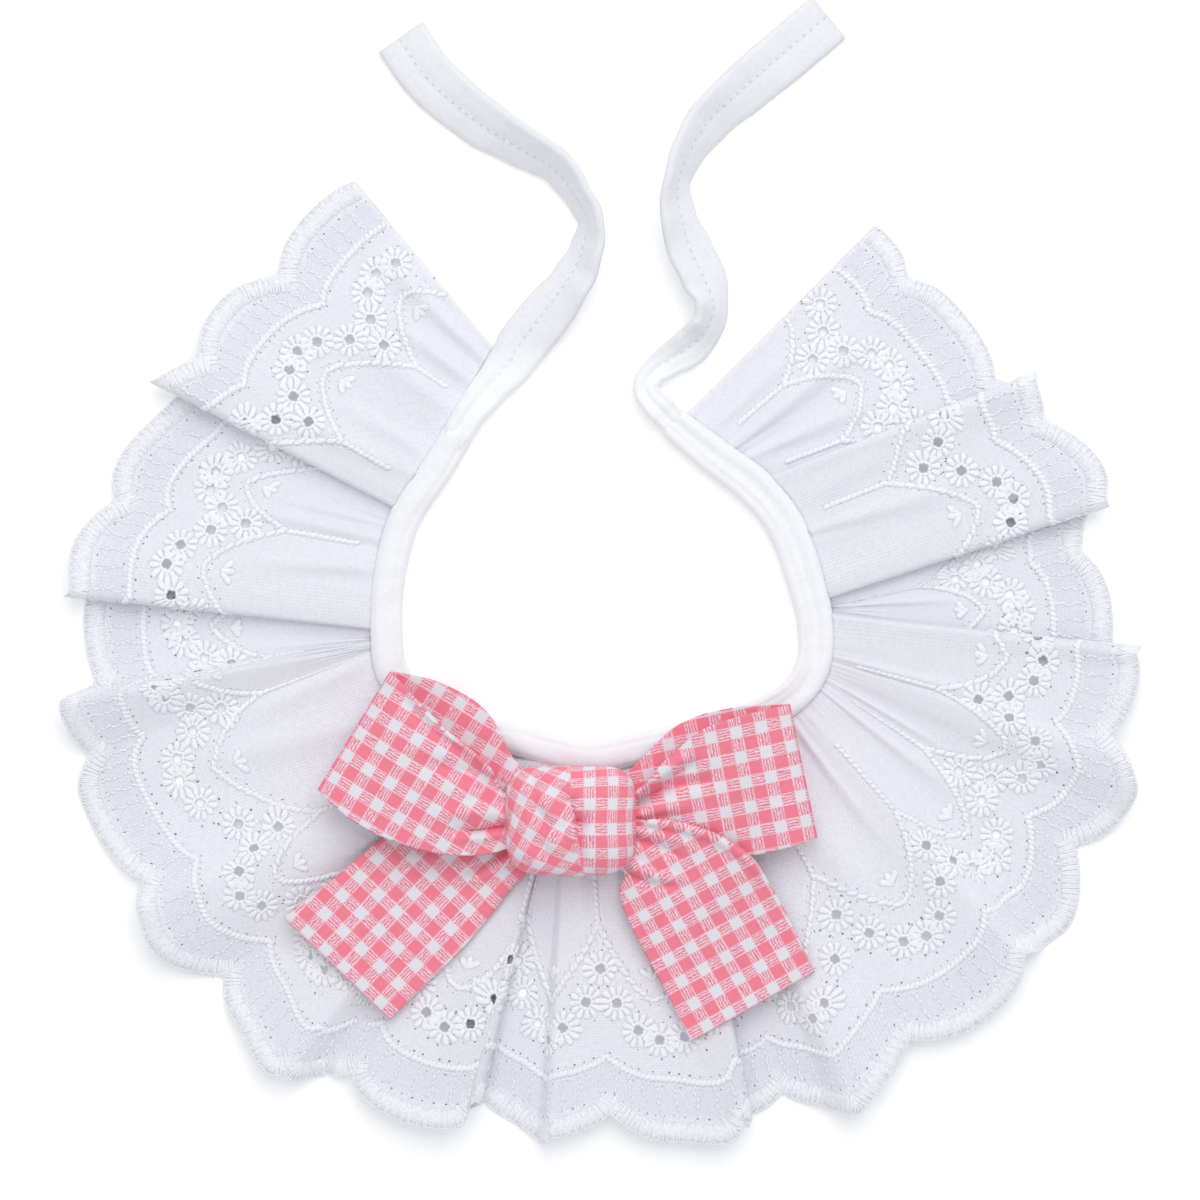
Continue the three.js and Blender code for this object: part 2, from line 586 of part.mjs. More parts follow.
const TAIL_STEPS = 12;

// A smooth curve through one edge of a strip, read evenly by its rows.
function stripEdge(rows, edge) {
  const corners = rows.map(
    (row) => new THREE.Vector3(row[edge + "X"], row[edge + "Y"], row[edge + "Z"]),
  );
  return new THREE.CatmullRomCurve3(corners, false, "centripetal");
}

function strip(name, rows, steps) {
  const foot = stripEdge(rows, "foot");
  const head = stripEdge(rows, "head");
  const middle = (i, j) =>
    foot.getPoint(i / steps).lerp(head.getPoint(i / steps), j / STRIP_ROWS);
  return clothWall(name, steps, STRIP_ROWS, middle, BOW_WALL, BOW_MATERIAL);
}

// The knot: one strip wrapped over the middle of the bow, its hidden layers one rounded solid.
// A crease runs down its right half, where the wrap's outer edge lies over the rest.
const KNOT = {
  x: -7.1,
  y: -57.6,
  bottom: 4.3,
  width: 29.4,
  length: 24.6,
  height: 16.4,
  squareness: 2.8,
  creaseX: 1.6,
  creaseDepth: 1.4,
  creaseWidth: 1.8,
};
const KNOT_RINGS = 12;
const KNOT_SIDES = 24;

function knot() {
  const power = 2 / KNOT.squareness;
  const round = (value) => Math.sign(value) * Math.abs(value) ** power;
  const rings = [];
  for (let k = 1; k < KNOT_RINGS; k += 1) {
    const tilt = Math.PI * (k / KNOT_RINGS - 0.5);
    const ring = [];
    for (let i = 0; i < KNOT_SIDES; i += 1) {
      const angle = (i * 2 * Math.PI) / KNOT_SIDES;
      const shrink = round(Math.cos(tilt));
      const x = (KNOT.width / 2) * shrink * round(Math.cos(angle));
      const y = (KNOT.length / 2) * shrink * round(Math.sin(angle));
      const fromCrease = (x - KNOT.creaseX) / KNOT.creaseWidth;
      const crease = KNOT.creaseDepth * Math.exp(-fromCrease * fromCrease);
      const z = (KNOT.height / 2) * (1 + round(Math.sin(tilt)));
      const sunk = tilt > 0 ? crease * Math.sin(tilt) : 0;
      ring.push(new THREE.Vector3(KNOT.x + x, KNOT.y + y, KNOT.bottom + z - sunk));
    }
    rings.push(ring);
  }
  return loft("bow_knot", rings, BOW_MATERIAL);
}

const collar = new THREE.Group();
collar.add(
  ...RUFFLE_PARTS.map(ruffle),
  neckBinding(),
  tie("tie_left", LEFT_TIE),
  tie("tie_right", RIGHT_TIE),
  strip("bow_loop_left", LEFT_LOOP, LOOP_STEPS),
  strip("bow_loop_right", RIGHT_LOOP, LOOP_STEPS),
  strip("bow_tail_left", LEFT_TAIL, TAIL_STEPS),
  strip("bow_tail_right", RIGHT_TAIL, TAIL_STEPS),
  knot(),
);

export default collar;
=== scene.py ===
# A small ruffled collar of eyelet lace, laid out flat: white lawn gathered into a taped neck edge
# that runs on as two ties, with a gingham bow at the front. Sizes here are in millimetres.
import math

import bmesh
import bpy
import numpy as np
from mathutils import Matrix, Vector


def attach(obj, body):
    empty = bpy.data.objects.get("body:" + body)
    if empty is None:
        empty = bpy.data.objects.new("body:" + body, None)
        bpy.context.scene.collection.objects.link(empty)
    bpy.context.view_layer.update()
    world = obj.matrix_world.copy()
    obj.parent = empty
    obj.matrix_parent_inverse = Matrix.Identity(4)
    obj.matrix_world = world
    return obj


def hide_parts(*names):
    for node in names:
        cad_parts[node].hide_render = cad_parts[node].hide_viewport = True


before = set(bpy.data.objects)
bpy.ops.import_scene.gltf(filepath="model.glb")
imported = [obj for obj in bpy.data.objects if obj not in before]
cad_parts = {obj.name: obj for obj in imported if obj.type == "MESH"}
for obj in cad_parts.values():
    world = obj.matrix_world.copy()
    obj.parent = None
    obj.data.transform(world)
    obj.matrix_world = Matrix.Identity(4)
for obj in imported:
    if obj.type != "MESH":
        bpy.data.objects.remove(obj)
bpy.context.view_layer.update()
MM = 0.001

# The room: a white table, seen straight down through a long lens, under a wide soft lamp at the top left
# and an even white surround. Nothing here belongs to the collar.
IMAGE_WIDTH = 282.0
IMAGE_CENTRE = (-0.35, -6.58)
LENS = 100.0
SENSOR = 36.0
scene = bpy.context.scene
scene.view_settings.view_transform = "Standard"

camera = bpy.data.objects.new("camera", bpy.data.cameras.new("camera"))
camera.data.lens = LENS
camera.data.sensor_width = SENSOR
camera.data.clip_start = 0.01
camera.location = Vector((*IMAGE_CENTRE, IMAGE_WIDTH * LENS / SENSOR)) * MM
scene.collection.objects.link(camera)
scene.camera = camera


def lamp(name, place, aim, size, power):
    light = bpy.data.lights.new(name, "AREA")
    light.size = size
    light.energy = power
    made = bpy.data.objects.new(name, light)
    made.location = place
    made.rotation_euler = (Vector(aim) - Vector(place)).to_track_quat("-Z", "Y").to_euler()
    scene.collection.objects.link(made)


lamp("key", (0.16, 0.6, 1.0), (0, 0, 0), 0.95, 6.9)
lamp("fill", (-0.5, -0.4, 1.2), (0, 0, 0), 1.0, 2.0)
world = bpy.data.worlds.new("surround")
world.use_nodes = True
surround = world.node_tree.nodes["Background"].inputs
surround["Color"].default_value = (0.95, 0.97, 1.0, 1)
surround["Strength"].default_value = 0.58
scene.world = world

TABLE_HALF_WIDTH = 3.0  # metres
mesh = bpy.data.meshes.new("table_top")
bm = bmesh.new()
bmesh.ops.create_grid(bm, x_segments=1, y_segments=1, size=TABLE_HALF_WIDTH)
bm.to_mesh(mesh)
bm.free()
table_top = bpy.data.objects.new("table_top", mesh)
scene.collection.objects.link(table_top)


def new_material(name, color, roughness):
    """A material with its own Principled shader, and that shader's node."""
    made = bpy.data.materials.new(name)
    made.use_nodes = True
    shader = made.node_tree.nodes["Principled BSDF"]
    shader.inputs["Base Color"].default_value = (*color, 1)
    shader.inputs["Roughness"].default_value = roughness
    shader.inputs["Specular IOR Level"].default_value = 0.3
    return made, shader


table_white, shader = new_material("table_white", (0.93, 0.93, 0.93), 0.9)
shader.inputs["Emission Color"].default_value = (1, 1, 1, 1)
shader.inputs["Emission Strength"].default_value = 0.17
mesh.materials.append(table_white)

# The ruffle: one strip of white cotton lawn with a scalloped and embroidered edge, its other edge
# gathered and pressed into pleats where it is sewn into the neck tape. It lies on the table.
SCALLOP = 33.0
SCALLOP_DEPTH = 7.0
SCALLOP_RADIUS = (SCALLOP**2 / 4 + SCALLOP_DEPTH**2) / (2 * SCALLOP_DEPTH)
LAWN_THICKNESS = 0.3
SEAM_GAP = 0.5  # from the neck tape's edge to the line where the lace goes in under it
BINDING_ROUTE = (  # x, y, width
    (-31.1, 36.7, 7.2),
    (-38.4, 24.4, 7.4),
    (-45.9, 12.9, 7.4),
    (-49.5, 0.2, 7.4),
    (-50.4, -13.2, 7.4),
    (-48.8, -24.0, 7.4),
    (-39.8, -33.4, 7.4),
    (-19.2, -39.6, 7.4),
    (-3.4, -43.5, 7.4),
    (9.8, -41.2, 7.4),
    (32.5, -35.2, 7.4),
    (44.6, -29.2, 7.6),
    (49.5, -22.0, 8.0),
    (50.2, -13.2, 8.4),
    (47.8, -1.9, 8.8),
    (42.4, 12.2, 9.0),
    (35.4, 20.4, 9.0),
    (27.6, 26.3, 8.6),
    (17.0, 34.8, 7.6),
    (13.6, 38.4, 6.8),
)
# Straight rays of the cloth from hem to seam, counted in scallops from the left end.
RUFFLE_RAYS = (  # scallop, hem x, y and height, seam x, y and height, gather
    (0.14, -57.5, 91.4, 1.2, -25.7, 53.1, 1.0, 0),
    (0.55, -70.1, 82.2, 1.6, -28.7, 48.4, 1.2, 0.4),
    (1, -74.5, 68.6, 3.2, -33.6, 41.6, 1.2, 0.6),
    (1.5, -88.7, 63.2, 4.5, -38.4, 29.8, 1.6, 0.5),
    (2, -92.8, 49.1, 6.6, -44.5, 21.1, 3.0, 0.1),
    (3.25, -102.6, 37.8, 0.8, -48.1, 12.2, 0.5, 0),
    (3.5, -110.8, 29.6, 1.0, -49.0, 10.6, 0.7, 0.1),
    (4, -112.3, 16.4, 2.5, -50.6, 5.5, 1.3, 0.6),
    (4.5, -123.3, 4.5, 5.6, -52.5, -4.0, 2.7, 0.2),
    (5.42, -120.9, -8.5, 0.8, -53.7, -15.0, 0.5, 0),
    (5.6, -121.1, -13.6, 0.5, -53.7, -15.5, 0.6, 0),
    (6, -116.1, -26.1, 1.8, -53.7, -16.2, 1.0, 0),
    (6.5, -125.8, -31.0, 8.5, -53.7, -17.4, 1.6, 0),
    (7, -118.8, -42.8, 1.5, -53.5, -18.8, 1.1, 0),
    (7.5, -121.1, -55.5, 0.5, -46.9, -33.1, 1.0, 0.4),
    (8, -106.6, -71.9, 3.5, -29.0, -42.4, 1.4, 0.2),
    (8.3, -107.5, -79.4, 8.0, -25.0, -43.3, 1.6, 0),
    (8.55, -104.2, -88.4, 6.5, -23.4, -43.6, 1.5, 0),
    (9, -87.9, -94.2, 0.5, -21.6, -44.0, 1.4, 0),
    (9.5, -85.0, -105.8, 3.5, -20.0, -44.3, 1.7, 0),
    (10, -73.4, -116.3, 6.0, -18.6, -44.6, 2.2, 0),
    (10.5, -65.0, -117.3, 0.9, -17.0, -44.6, 2.7, 0),
    (11, -57.8, -116.3, 3.6, -15.4, -44.8, 3.1, 0),
    (11.5, -45.0, -128.3, 6.5, -13.4, -44.9, 3.1, 0),
    (11.85, -32.0, -128.1, 8.2, -11.4, -45.0, 3.1, 0),
    (13, -27.4, -123.6, 0.8, -9.0, -45.1, 0.5, 0),
    (13.2, -21.5, -128.3, 0.5, -8.6, -45.1, 0.5, 0),
    (13.42, -14.9, -132.6, 1.6, -8.2, -45.1, 0.6, 0),
    (13.5, -13.7, -133.2, 4.2, -7.8, -45.1, 0.8, 0),
    (13.62, -11.6, -132.0, 6.5, -7.2, -45.2, 1.1, 0),
    (14, 2.0, -126.0, 5.2, -3.2, -45.6, 1.5, 0),
    (14.5, 16.6, -132.8, 5.2, 4.8, -44.6, 2.2, 0),
    (14.9, 31.5, -131.6, 7.2, 14.6, -42.6, 3.1, 0),
    (15.74, 35.8, -126.7, 0.8, 18.8, -41.6, 0.5, 0),
    (16, 42.4, -121.5, 0.5, 19.9, -41.4, 0.6, 0),
    (16.3, 52.5, -125.0, 2.6, 21.6, -40.9, 0.9, 0),
    (16.55, 59.6, -125.9, 8.0, 23.4, -40.4, 1.2, 0),
    (16.7, 62.4, -122.8, 8.2, 25.2, -40.0, 1.3, 0),
    (17, 71.6, -109.0, 4.6, 31.4, -39.0, 1.4, 0.1),
    (17.5, 88.9, -105.0, 4.4, 43.0, -34.6, 1.4, 0.2),
    (17.95, 98.0, -91.0, 7.5, 47.4, -33.0, 1.5, 0),
    (18.1, 101.0, -88.5, 5.0, 48.9, -31.8, 1.3, 0),
    (18.3, 103.6, -87.6, 1.0, 50.3, -30.4, 1.1, 0),
    (18.5, 109.6, -83.0, 0.5, 51.5, -29.0, 1.0, 0),
    (19, 110.2, -63.9, 1.0, 53.2, -26.6, 1.0, 0),
    (19.4, 121.4, -57.8, 2.8, 54.0, -24.6, 1.2, 0),
    (19.6, 124.4, -50.1, 7.5, 54.2, -23.4, 1.5, 0),
    (19.75, 122.6, -45.0, 8.2, 54.4, -22.4, 1.8, 0),
    (20, 117.4, -38.1, 6.3, 54.6, -20.6, 2.2, 0.1),
    (20.5, 124.9, -23.0, 6.8, 54.6, -16.2, 2.9, 0.1),
    (21.27, 119.3, -17.4, 0.8, 53.7, -9.3, 0.5, 0),
    (21.5, 119.5, -9.4, 0.5, 53.5, -8.7, 0.5, 0),
    (22, 111.3, 4.7, 1.0, 53.2, -8.0, 0.5, 0),
    (22.25, 112.5, 11.4, 0.9, 53.2, -7.4, 0.5, 0),
    (23.5, 117.1, 23.0, 7.0, 50.2, 4.0, 2.7, 0.1),
    (24, 102.1, 34.8, 6.8, 45.5, 12.2, 2.7, 0.2),
    (25, 91.5, 43.7, 0.8, 37.2, 22.6, 0.5, 0),
    (25.5, 85.7, 59.2, 0.5, 32.5, 27.5, 0.9, 0.5),
    (26, 71.1, 68.1, 1.4, 28.3, 31.5, 1.2, 0.4),
    (26.47, 63.9, 81.2, 0.6, 21.0, 38.2, 1.0, 0),
)
# The pressed pleats, three layers deep: a falling pleat's top layer comes before its tip.
PLEATS = (  # from, to, tip x and y, back x and y, seam x and y, top, middle, low, rising
    (2.4, 3.2, -104.7, 44.2, -94.4, 47.9, -47.4, 14.6, 8.5, 4.0, 1.0, 0),
    (4.8, 5.4, -124.9, -5.6, -116.7, 0.5, -53.5, -13.2, 7.5, 3.8, 1.0, 0),
    (12.05, 12.95, -28.3, -123.6, -41.7, -122.7, -9.6, -45.1, 8.4, 4.0, 1.0, 0),
    (15.05, 15.7, 34.9, -127.4, 24.6, -126.9, 18.2, -41.8, 7.4, 3.8, 1.0, 0),
    (20.7, 21.25, 125.4, -17.6, 120.0, -23.5, 53.7, -10.2, 8.0, 4.0, 1.0, 0),
    (22.4, 23.18, 117.9, 15.3, 113.2, 24.4, 52.8, -6.2, 7.3, 4.2, 1.2, 1),
    (24.4, 25, 100.9, 46.5, 100.7, 39.9, 38.7, 21.1, 8.4, 4.0, 1.0, 0),
)
NECK_LAYERS = (3.1, 1.8, 0.5)  # heights of a pleat's three layers at the seam
NECK_TUCK = 3.0  # how far a pleat's back is tucked under at the seam
FOLD_TURN = 0.07  # scallops of cloth in half of a fold
HEM_BEND = 2.0  # how far in from its edge a fold starts to bend, at the hem and at the seam
NECK_BEND = 0.6
SEAM_OVERRUN = 24.0  # how far past the binding's ends the seam line is searched
PATH_SAMPLES = 3000
LACE_ENDS = (RUFFLE_RAYS[0][0] * SCALLOP, RUFFLE_RAYS[-1][0] * SCALLOP)


def smoothstep(low, high, value):
    t = np.clip((value - low) / (high - low), 0, 1)
    return t * t * (3 - 2 * t)


def hump(value, height, middle, width):
    """A smooth rise to a height at a middle value, over a width each way."""
    return height * np.exp(-(((value - middle) / width) ** 2))


def smooth_path(corners, places):
    """Points on a smooth curve through the corners, which stand at places 0, 1, 2 and so on."""
    corners = np.asarray(corners, float)
    ends = 2 * corners[0] - corners[1], 2 * corners[-1] - corners[-2]
    padded = np.vstack([ends[0], corners, ends[1]])
    before = np.clip(np.floor(places).astype(int), 0, len(corners) - 2)
    t = (places - before)[:, None]
    p0, p1, p2, p3 = (padded[before + k] for k in range(4))
    d0, d1, d2 = (
        np.sqrt(np.linalg.norm(b - a, axis=1))[:, None] for a, b in ((p0, p1), (p1, p2), (p2, p3))
    )
    leave = ((p1 - p0) / d0 - (p2 - p0) / (d0 + d1) + (p2 - p1) / d1) * d1
    arrive = ((p2 - p1) / d1 - (p3 - p1) / (d1 + d2) + (p3 - p2) / d2) * d1
    rise = t * t * (3 - 2 * t)
    return p1 + (p2 - p1) * rise + leave * t * (1 - t) ** 2 - arrive * t * t * (1 - t)


def level_path(rows, steps):
    """Even steps along a level path through rows of x, y and other columns, and its length."""
    rows = np.asarray(rows, float)
    places = np.linspace(0, len(rows) - 1, PATH_SAMPLES)
    dense = smooth_path(rows[:, :2], places)
    run = np.concatenate([[0], np.cumsum(np.linalg.norm(np.diff(dense, axis=0), axis=1))])
    at = np.interp(np.linspace(0, run[-1], steps + 1), run, places)
    points = smooth_path(rows[:, :2], at)
    headings = np.gradient(points, axis=0)
    headings /= np.linalg.norm(headings, axis=1)[:, None]
    before = np.clip(np.floor(at).astype(int), 0, len(rows) - 2)
    t = smoothstep(0, 1, at - before)[:, None]
    others = rows[before, 2:] * (1 - t) + rows[before + 1, 2:] * t
    return points, headings, others, run[-1]


def left_of(heading):
    return np.stack([-heading[..., 1], heading[..., 0]], -1)


seam_marks, seam_headings, seam_widths, BINDING_LENGTH = level_path(BINDING_ROUTE, 1200)


def seam_point(distance):
    """The line that the lace is sewn to, by distance along the binding, straight on past its ends."""
    distance = np.asarray(distance, float)
    inside = np.clip(distance, 0, BINDING_LENGTH)
    at = inside / BINDING_LENGTH * (len(seam_marks) - 1)
    steps = np.arange(len(seam_marks))
    columns = (*seam_headings.T, *seam_marks.T, seam_widths[:, 0])
    head_x, head_y, x, y, width = (np.interp(at, steps, column) for column in columns)
    heading = np.stack([head_x, head_y], -1)
    point = np.stack([x, y], -1) + heading * (distance - inside)[..., None]
    return point - left_of(heading) * (width / 2 + SEAM_GAP)[..., None]


def seam_distance(x, y):
    tries = np.arange(-SEAM_OVERRUN, BINDING_LENGTH + SEAM_OVERRUN, 0.1)
    return tries[np.argmin(np.linalg.norm(seam_point(tries) - (x, y), axis=1))]


def hem_arch(along):
    """How far the scalloped edge stands out from its cusps, by distance along the flat lace."""
    aside = np.mod(along, SCALLOP) - SCALLOP / 2
    return np.sqrt(SCALLOP_RADIUS**2 - aside * aside) - (SCALLOP_RADIUS - SCALLOP_DEPTH)


def pleat_rays(pleat):
    """The six rays that carry the cloth round a pleat's tip and its back."""
    first, last, tip_x, tip_y, back_x, back_y, neck_x, neck_y, *layers, rising = pleat
    tip, back = np.array([tip_x, tip_y]), np.array([back_x, back_y])
    inward = (back - tip) / np.linalg.norm(back - tip)
    middle = (first + last) / 2
    tip_at, order = (last, -1) if rising else (first, 1)
    neck = seam_distance(neck_x, neck_y)
    rows = (
        (tip, 1, 1, tip_at - order * FOLD_TURN, (0,)),
        (tip, 1, 0, tip_at, (0, 1)),
        (tip, 1, 1, tip_at + order * FOLD_TURN, (1,)),
        (back, -1, 1, middle - order * FOLD_TURN, (1,)),
        (back, -1, 0, middle, (1, 2)),
        (back, -1, 1, middle + order * FOLD_TURN, (2,)),
    )
    made = []
    for edge, side, bend, scallop, levels in rows:
        hem = edge + inward * side * bend * HEM_BEND
        tuck = (0 if side > 0 else NECK_TUCK) + side * bend * NECK_BEND
        heights = [np.mean([kind[level] for level in levels]) for kind in (layers, NECK_LAYERS)]
        made.append((scallop, *hem, heights[0], neck - order * tuck, heights[1], 0, 1))
    return made


def row_curve(at, values):
    """A smooth curve through rows of values that never swings past them."""
    slope = np.diff(values) / np.diff(at)
    before, after = slope[:-1], slope[1:]
    agree = before * after > 0
    inner = np.where(agree, 2 * before * after / np.where(agree, before + after, 1), 0)
    tangent = np.concatenate([slope[:1], inner, slope[-1:]])

    def read(place):
        row = np.clip(np.searchsorted(at, place) - 1, 0, len(at) - 2)
        span = at[row + 1] - at[row]
        t = np.clip((place - at[row]) / span, 0, 1)
        rise = values[row] + (values[row + 1] - values[row]) * t * t * (3 - 2 * t)
        leave = t * (1 - t) ** 2 * span * tangent[row]
        return rise + leave - t * t * (1 - t) * span * tangent[row + 1]

    return read


rays = [(*row[:4], seam_distance(row[4], row[5]), *row[6:], 0) for row in RUFFLE_RAYS]
for pleat in PLEATS:
    rays += pleat_rays(pleat)
rays = np.array(sorted(rays))
hem_outward = rays[:, 1:3] - seam_point(rays[:, 4])
hem_outward /= np.linalg.norm(hem_outward, axis=1)[:, None]
cusps = rays[:, 1:3] - hem_outward * hem_arch(rays[:, 0] * SCALLOP)[:, None]
STRIP_STEP = 0.2
strip_along = np.arange(LACE_ENDS[0], LACE_ENDS[1] + STRIP_STEP, STRIP_STEP)
strip = {
    name: row_curve(rays[:, 0], column)(strip_along / SCALLOP)
    for name, column in (
        ("cusp_x", cusps[:, 0]),
        ("cusp_y", cusps[:, 1]),
        ("hem_z", rays[:, 3]),
        ("neck", rays[:, 4]),
        ("neck_z", rays[:, 5]),
        ("gather", rays[:, 6]),
        ("fold", rays[:, 7]),
    )
}
strip["neck_x"], strip["neck_y"] = seam_point(strip["neck"]).T
strip["length"] = np.hypot(
    strip["neck_x"] - strip["cusp_x"], strip["neck_y"] - strip["cusp_y"]
)
# Where a ray is short the cloth is pushed together along it, down to the least squeeze.
LEAST_SQUEEZE = 0.85
SHORT_RAY, LONG_RAY = 56.0, 76.0
slackness = (strip["length"] - SHORT_RAY) / (LONG_RAY - SHORT_RAY)
strip["squeeze"] = np.clip(LEAST_SQUEEZE + (1 - LEAST_SQUEEZE) * slackness, LEAST_SQUEEZE, 1)
strip["depth"] = strip["length"] / strip["squeeze"]
CREASE_RISE = 1.5  # scales the creases' heights below
FINE_GATHER = 0.16  # height of the small gathers at the seam, each way
SLACK = 0.16  # height of the cloth's slow unevenness, each way
# Soft creases in the lawn, each a low ridge that runs out from the seam and dies away.
CREASES = (  # scallop at the seam, scallop at its outer end, how far out it starts, width, height
    (0.42, 0.34, 0.22, 0.09, 1.0),
    (0.78, 0.74, 0.5, 0.07, 0.6),
    (1.16, 1.04, 0.36, 0.12, 0.9),
    (1.62, 1.7, 0.55, 0.07, 0.5),
    (1.95, 2.05, 0.3, 0.1, 0.8),
    (3.52, 3.6, 0.52, 0.06, 0.4),
    (3.86, 3.8, 0.38, 0.1, 0.7),
    (4.3, 4.42, 0.48, 0.08, 0.6),
    (5.76, 5.8, 0.5, 0.07, 0.4),
    (6.2, 6.12, 0.34, 0.1, 0.7),
    (7.12, 7.2, 0.45, 0.08, 0.6),
    (7.5, 7.44, 0.28, 0.12, 0.9),
    (7.92, 7.98, 0.5, 0.07, 0.6),
    (8.7, 8.72, 0.42, 0.07, 0.5),
    (9.3, 9.2, 0.34, 0.1, 0.7),
    (10.2, 10.3, 0.5, 0.07, 0.5),
    (13.8, 13.86, 0.4, 0.08, 0.6),
    (14.3, 14.24, 0.5, 0.06, 0.4),
    (16.1, 16.02, 0.5, 0.06, 0.4),
    (17.24, 17.2, 0.34, 0.12, 0.8),
    (17.6, 17.68, 0.5, 0.07, 0.5),
    (18.7, 18.76, 0.4, 0.09, 0.6),
    (19.24, 19.16, 0.5, 0.06, 0.5),
    (20.1, 20.06, 0.4, 0.08, 0.5),
    (21.7, 21.66, 0.45, 0.07, 0.4),
    (23.8, 23.74, 0.36, 0.09, 0.6),
    (24.1, 24.2, 0.5, 0.06, 0.4),
    (25.3, 25.26, 0.42, 0.09, 0.6),
    (25.72, 25.84, 0.28, 0.11, 0.9),
    (26.14, 26.2, 0.5, 0.06, 0.5),
)
END_ROLL = (0.45, 1.1, 0.9)  # height, place and half width of the narrow hem down each cut end


def on_strip(name, along):
    return np.interp(along, strip_along, strip[name])


def gathers(along, share):
    """The small uneven gathers at the seam, the soft creases, and the cloth's slack between them."""
    u = along / SCALLOP
    phase = 2 * math.pi * (4.3 * u + 0.55 * np.sin(2.9 * u) + 0.35 * np.sin(7.3 * u + 1))
    second = 2 * math.pi * (7.1 * u + 0.4 * np.sin(4.1 * u))
    start = 0.72 + 0.1 * np.sin(5.3 * u) + 0.07 * np.sin(11.9 * u + 2)
    fine = 0.7 * np.cos(phase) + 0.3 * np.cos(second)
    lift = FINE_GATHER * fine * smoothstep(start, 1.02, share)
    for neck, outer, first, width, height in CREASES:
        reach = np.clip((share - first) / (1 - first), 0, 1)
        off = (u - outer - (neck - outer) * reach) / (width * (1.3 - 0.5 * reach))
        rise = smoothstep(0, 0.45, reach) * (1 - 0.55 * smoothstep(0.75, 1, reach))
        lift = lift + CREASE_RISE * height * np.exp(-off * off) * rise
    slack = np.sin(7.4 * u + 5 * share) * np.sin(4.1 * u - 7 * share + 1.3)
    lift = lift + SLACK * slack * (1 - smoothstep(0.6, 0.95, share))
    from_end = np.minimum(along - LACE_ENDS[0], LACE_ENDS[1] - along)
    return lift + hump(from_end, *END_ROLL)


def lace_point(along, inward):
    """A place on the laid-out lace: along its edge, and inward from the line of its cusps."""
    cusp = np.stack([on_strip("cusp_x", along), on_strip("cusp_y", along)], -1)
    neck = np.stack([on_strip("neck_x", along), on_strip("neck_y", along)], -1)
    length = on_strip("length", along)
    step = np.where(inward > 0, inward * on_strip("squeeze", along), inward)
    reach = hem_arch(along)
    share = (reach + step) / (reach + length)
    level = cusp + (neck - cusp) * (step / length)[..., None]
    hem_z, neck_z = on_strip("hem_z", along), on_strip("neck_z", along)
    wave = 0.5 - 0.5 * np.cos(4 * math.pi * along / SCALLOP)
    height = hem_z + (neck_z - hem_z) * np.clip(share, 0, 1)
    height = height + on_strip("gather", along) * wave * smoothstep(0.35, 1, share)
    height = np.maximum(height + gathers(along, share), LAWN_THICKNESS / 2)
    return np.concatenate([level, height[..., None]], -1)


SLOPE_STEP = 0.4


def lace_slopes(along, inward):
    """How a place on the lace moves for each flat millimetre along the edge, and inward."""
    ahead = np.clip(along + SLOPE_STEP, *LACE_ENDS)
    behind = np.clip(along - SLOPE_STEP, *LACE_ENDS)
    run = (lace_point(ahead, inward) - lace_point(behind, inward)) / (ahead - behind)[..., None]
    rise = lace_point(along, inward + SLOPE_STEP) - lace_point(along, inward - SLOPE_STEP)
    return run, rise / (2 * SLOPE_STEP)


def on_lace(along, inward, lift):
    """A place raised from the lace along its own upright, in metres."""
    run, rise = lace_slopes(along, inward)
    upright = np.cross(run, rise)
    upright /= np.linalg.norm(upright, axis=-1)[..., None]
    return (lace_point(along, inward) + upright * np.asarray(lift)[..., None]) * MM


# One repeat of the embroidery's eyelets: aside from a cusp, and inward from the line of the cusps.
EYELETS = (
    (-4.5, 25.2),
    (4.5, 25.2),
    (0.0, 33.2),
    (10.7, 18.8),
    (16.5, 16.6),
    (22.3, 18.8),
)
EYELET_RADIUS = 1.22
EYELET_MARGIN = 3  # the least distance from an eyelet to a cut end
SCALLOPS = 28
eyelets = np.array(
    [
        (cusp * SCALLOP + aside, inward)
        for cusp in range(SCALLOPS)
        for aside, inward in EYELETS
        if LACE_ENDS[0] + EYELET_MARGIN < cusp * SCALLOP + aside < LACE_ENDS[1] - EYELET_MARGIN
    ]
)
eyelet_run, eyelet_rise = lace_slopes(eyelets[:, 0], eyelets[:, 1])


LEAST_RUN_SCALE, LEAST_RISE_SCALE, MOST_SHEAR = 0.55, 0.6, 0.6


def flat_frame(index):
    """How true distances round an eyelet turn into flat ones: run scale, shear and rise scale."""
    run, rise = eyelet_run[index], eyelet_rise[index]
    run_scale = max(np.linalg.norm(run), LEAST_RUN_SCALE)
    shear = rise @ (run / np.linalg.norm(run))
    rise_scale = max(math.sqrt(max(rise @ rise - shear * shear, 0)), LEAST_RISE_SCALE)
    return run_scale, float(np.clip(shear, -MOST_SHEAR, MOST_SHEAR)), rise_scale


def to_flat(index, aside, inward):
    run_scale, shear, rise_scale = flat_frame(index)
    rise = inward / rise_scale
    return eyelets[index][0] + (aside - rise * shear) / run_scale, eyelets[index][1] + rise


def from_flat(index, along, inward):
    run_scale, shear, rise_scale = flat_frame(index)
    rise = inward - eyelets[index][1]
    return (along - eyelets[index][0]) * run_scale + rise * shear, rise * rise_scale


LACE_CELL = 0.92
PATTERN_ROWS = 54
PLAIN_ROWS = 18
PATTERN_DEPTH = 47.0
PATTERN_SHARE = 0.82  # the most of the cloth's depth that the pattern's finer rows take
EYELET_SEARCH = 8.0  # how far along an eyelet's points are looked for
RIM_SEARCH, RIM_REACH = 2.2, 1.7  # cells outside an eyelet whose points may become its rim
SEAM_TUCK = 0.9  # how far the cloth runs on under the edge of the neck tape


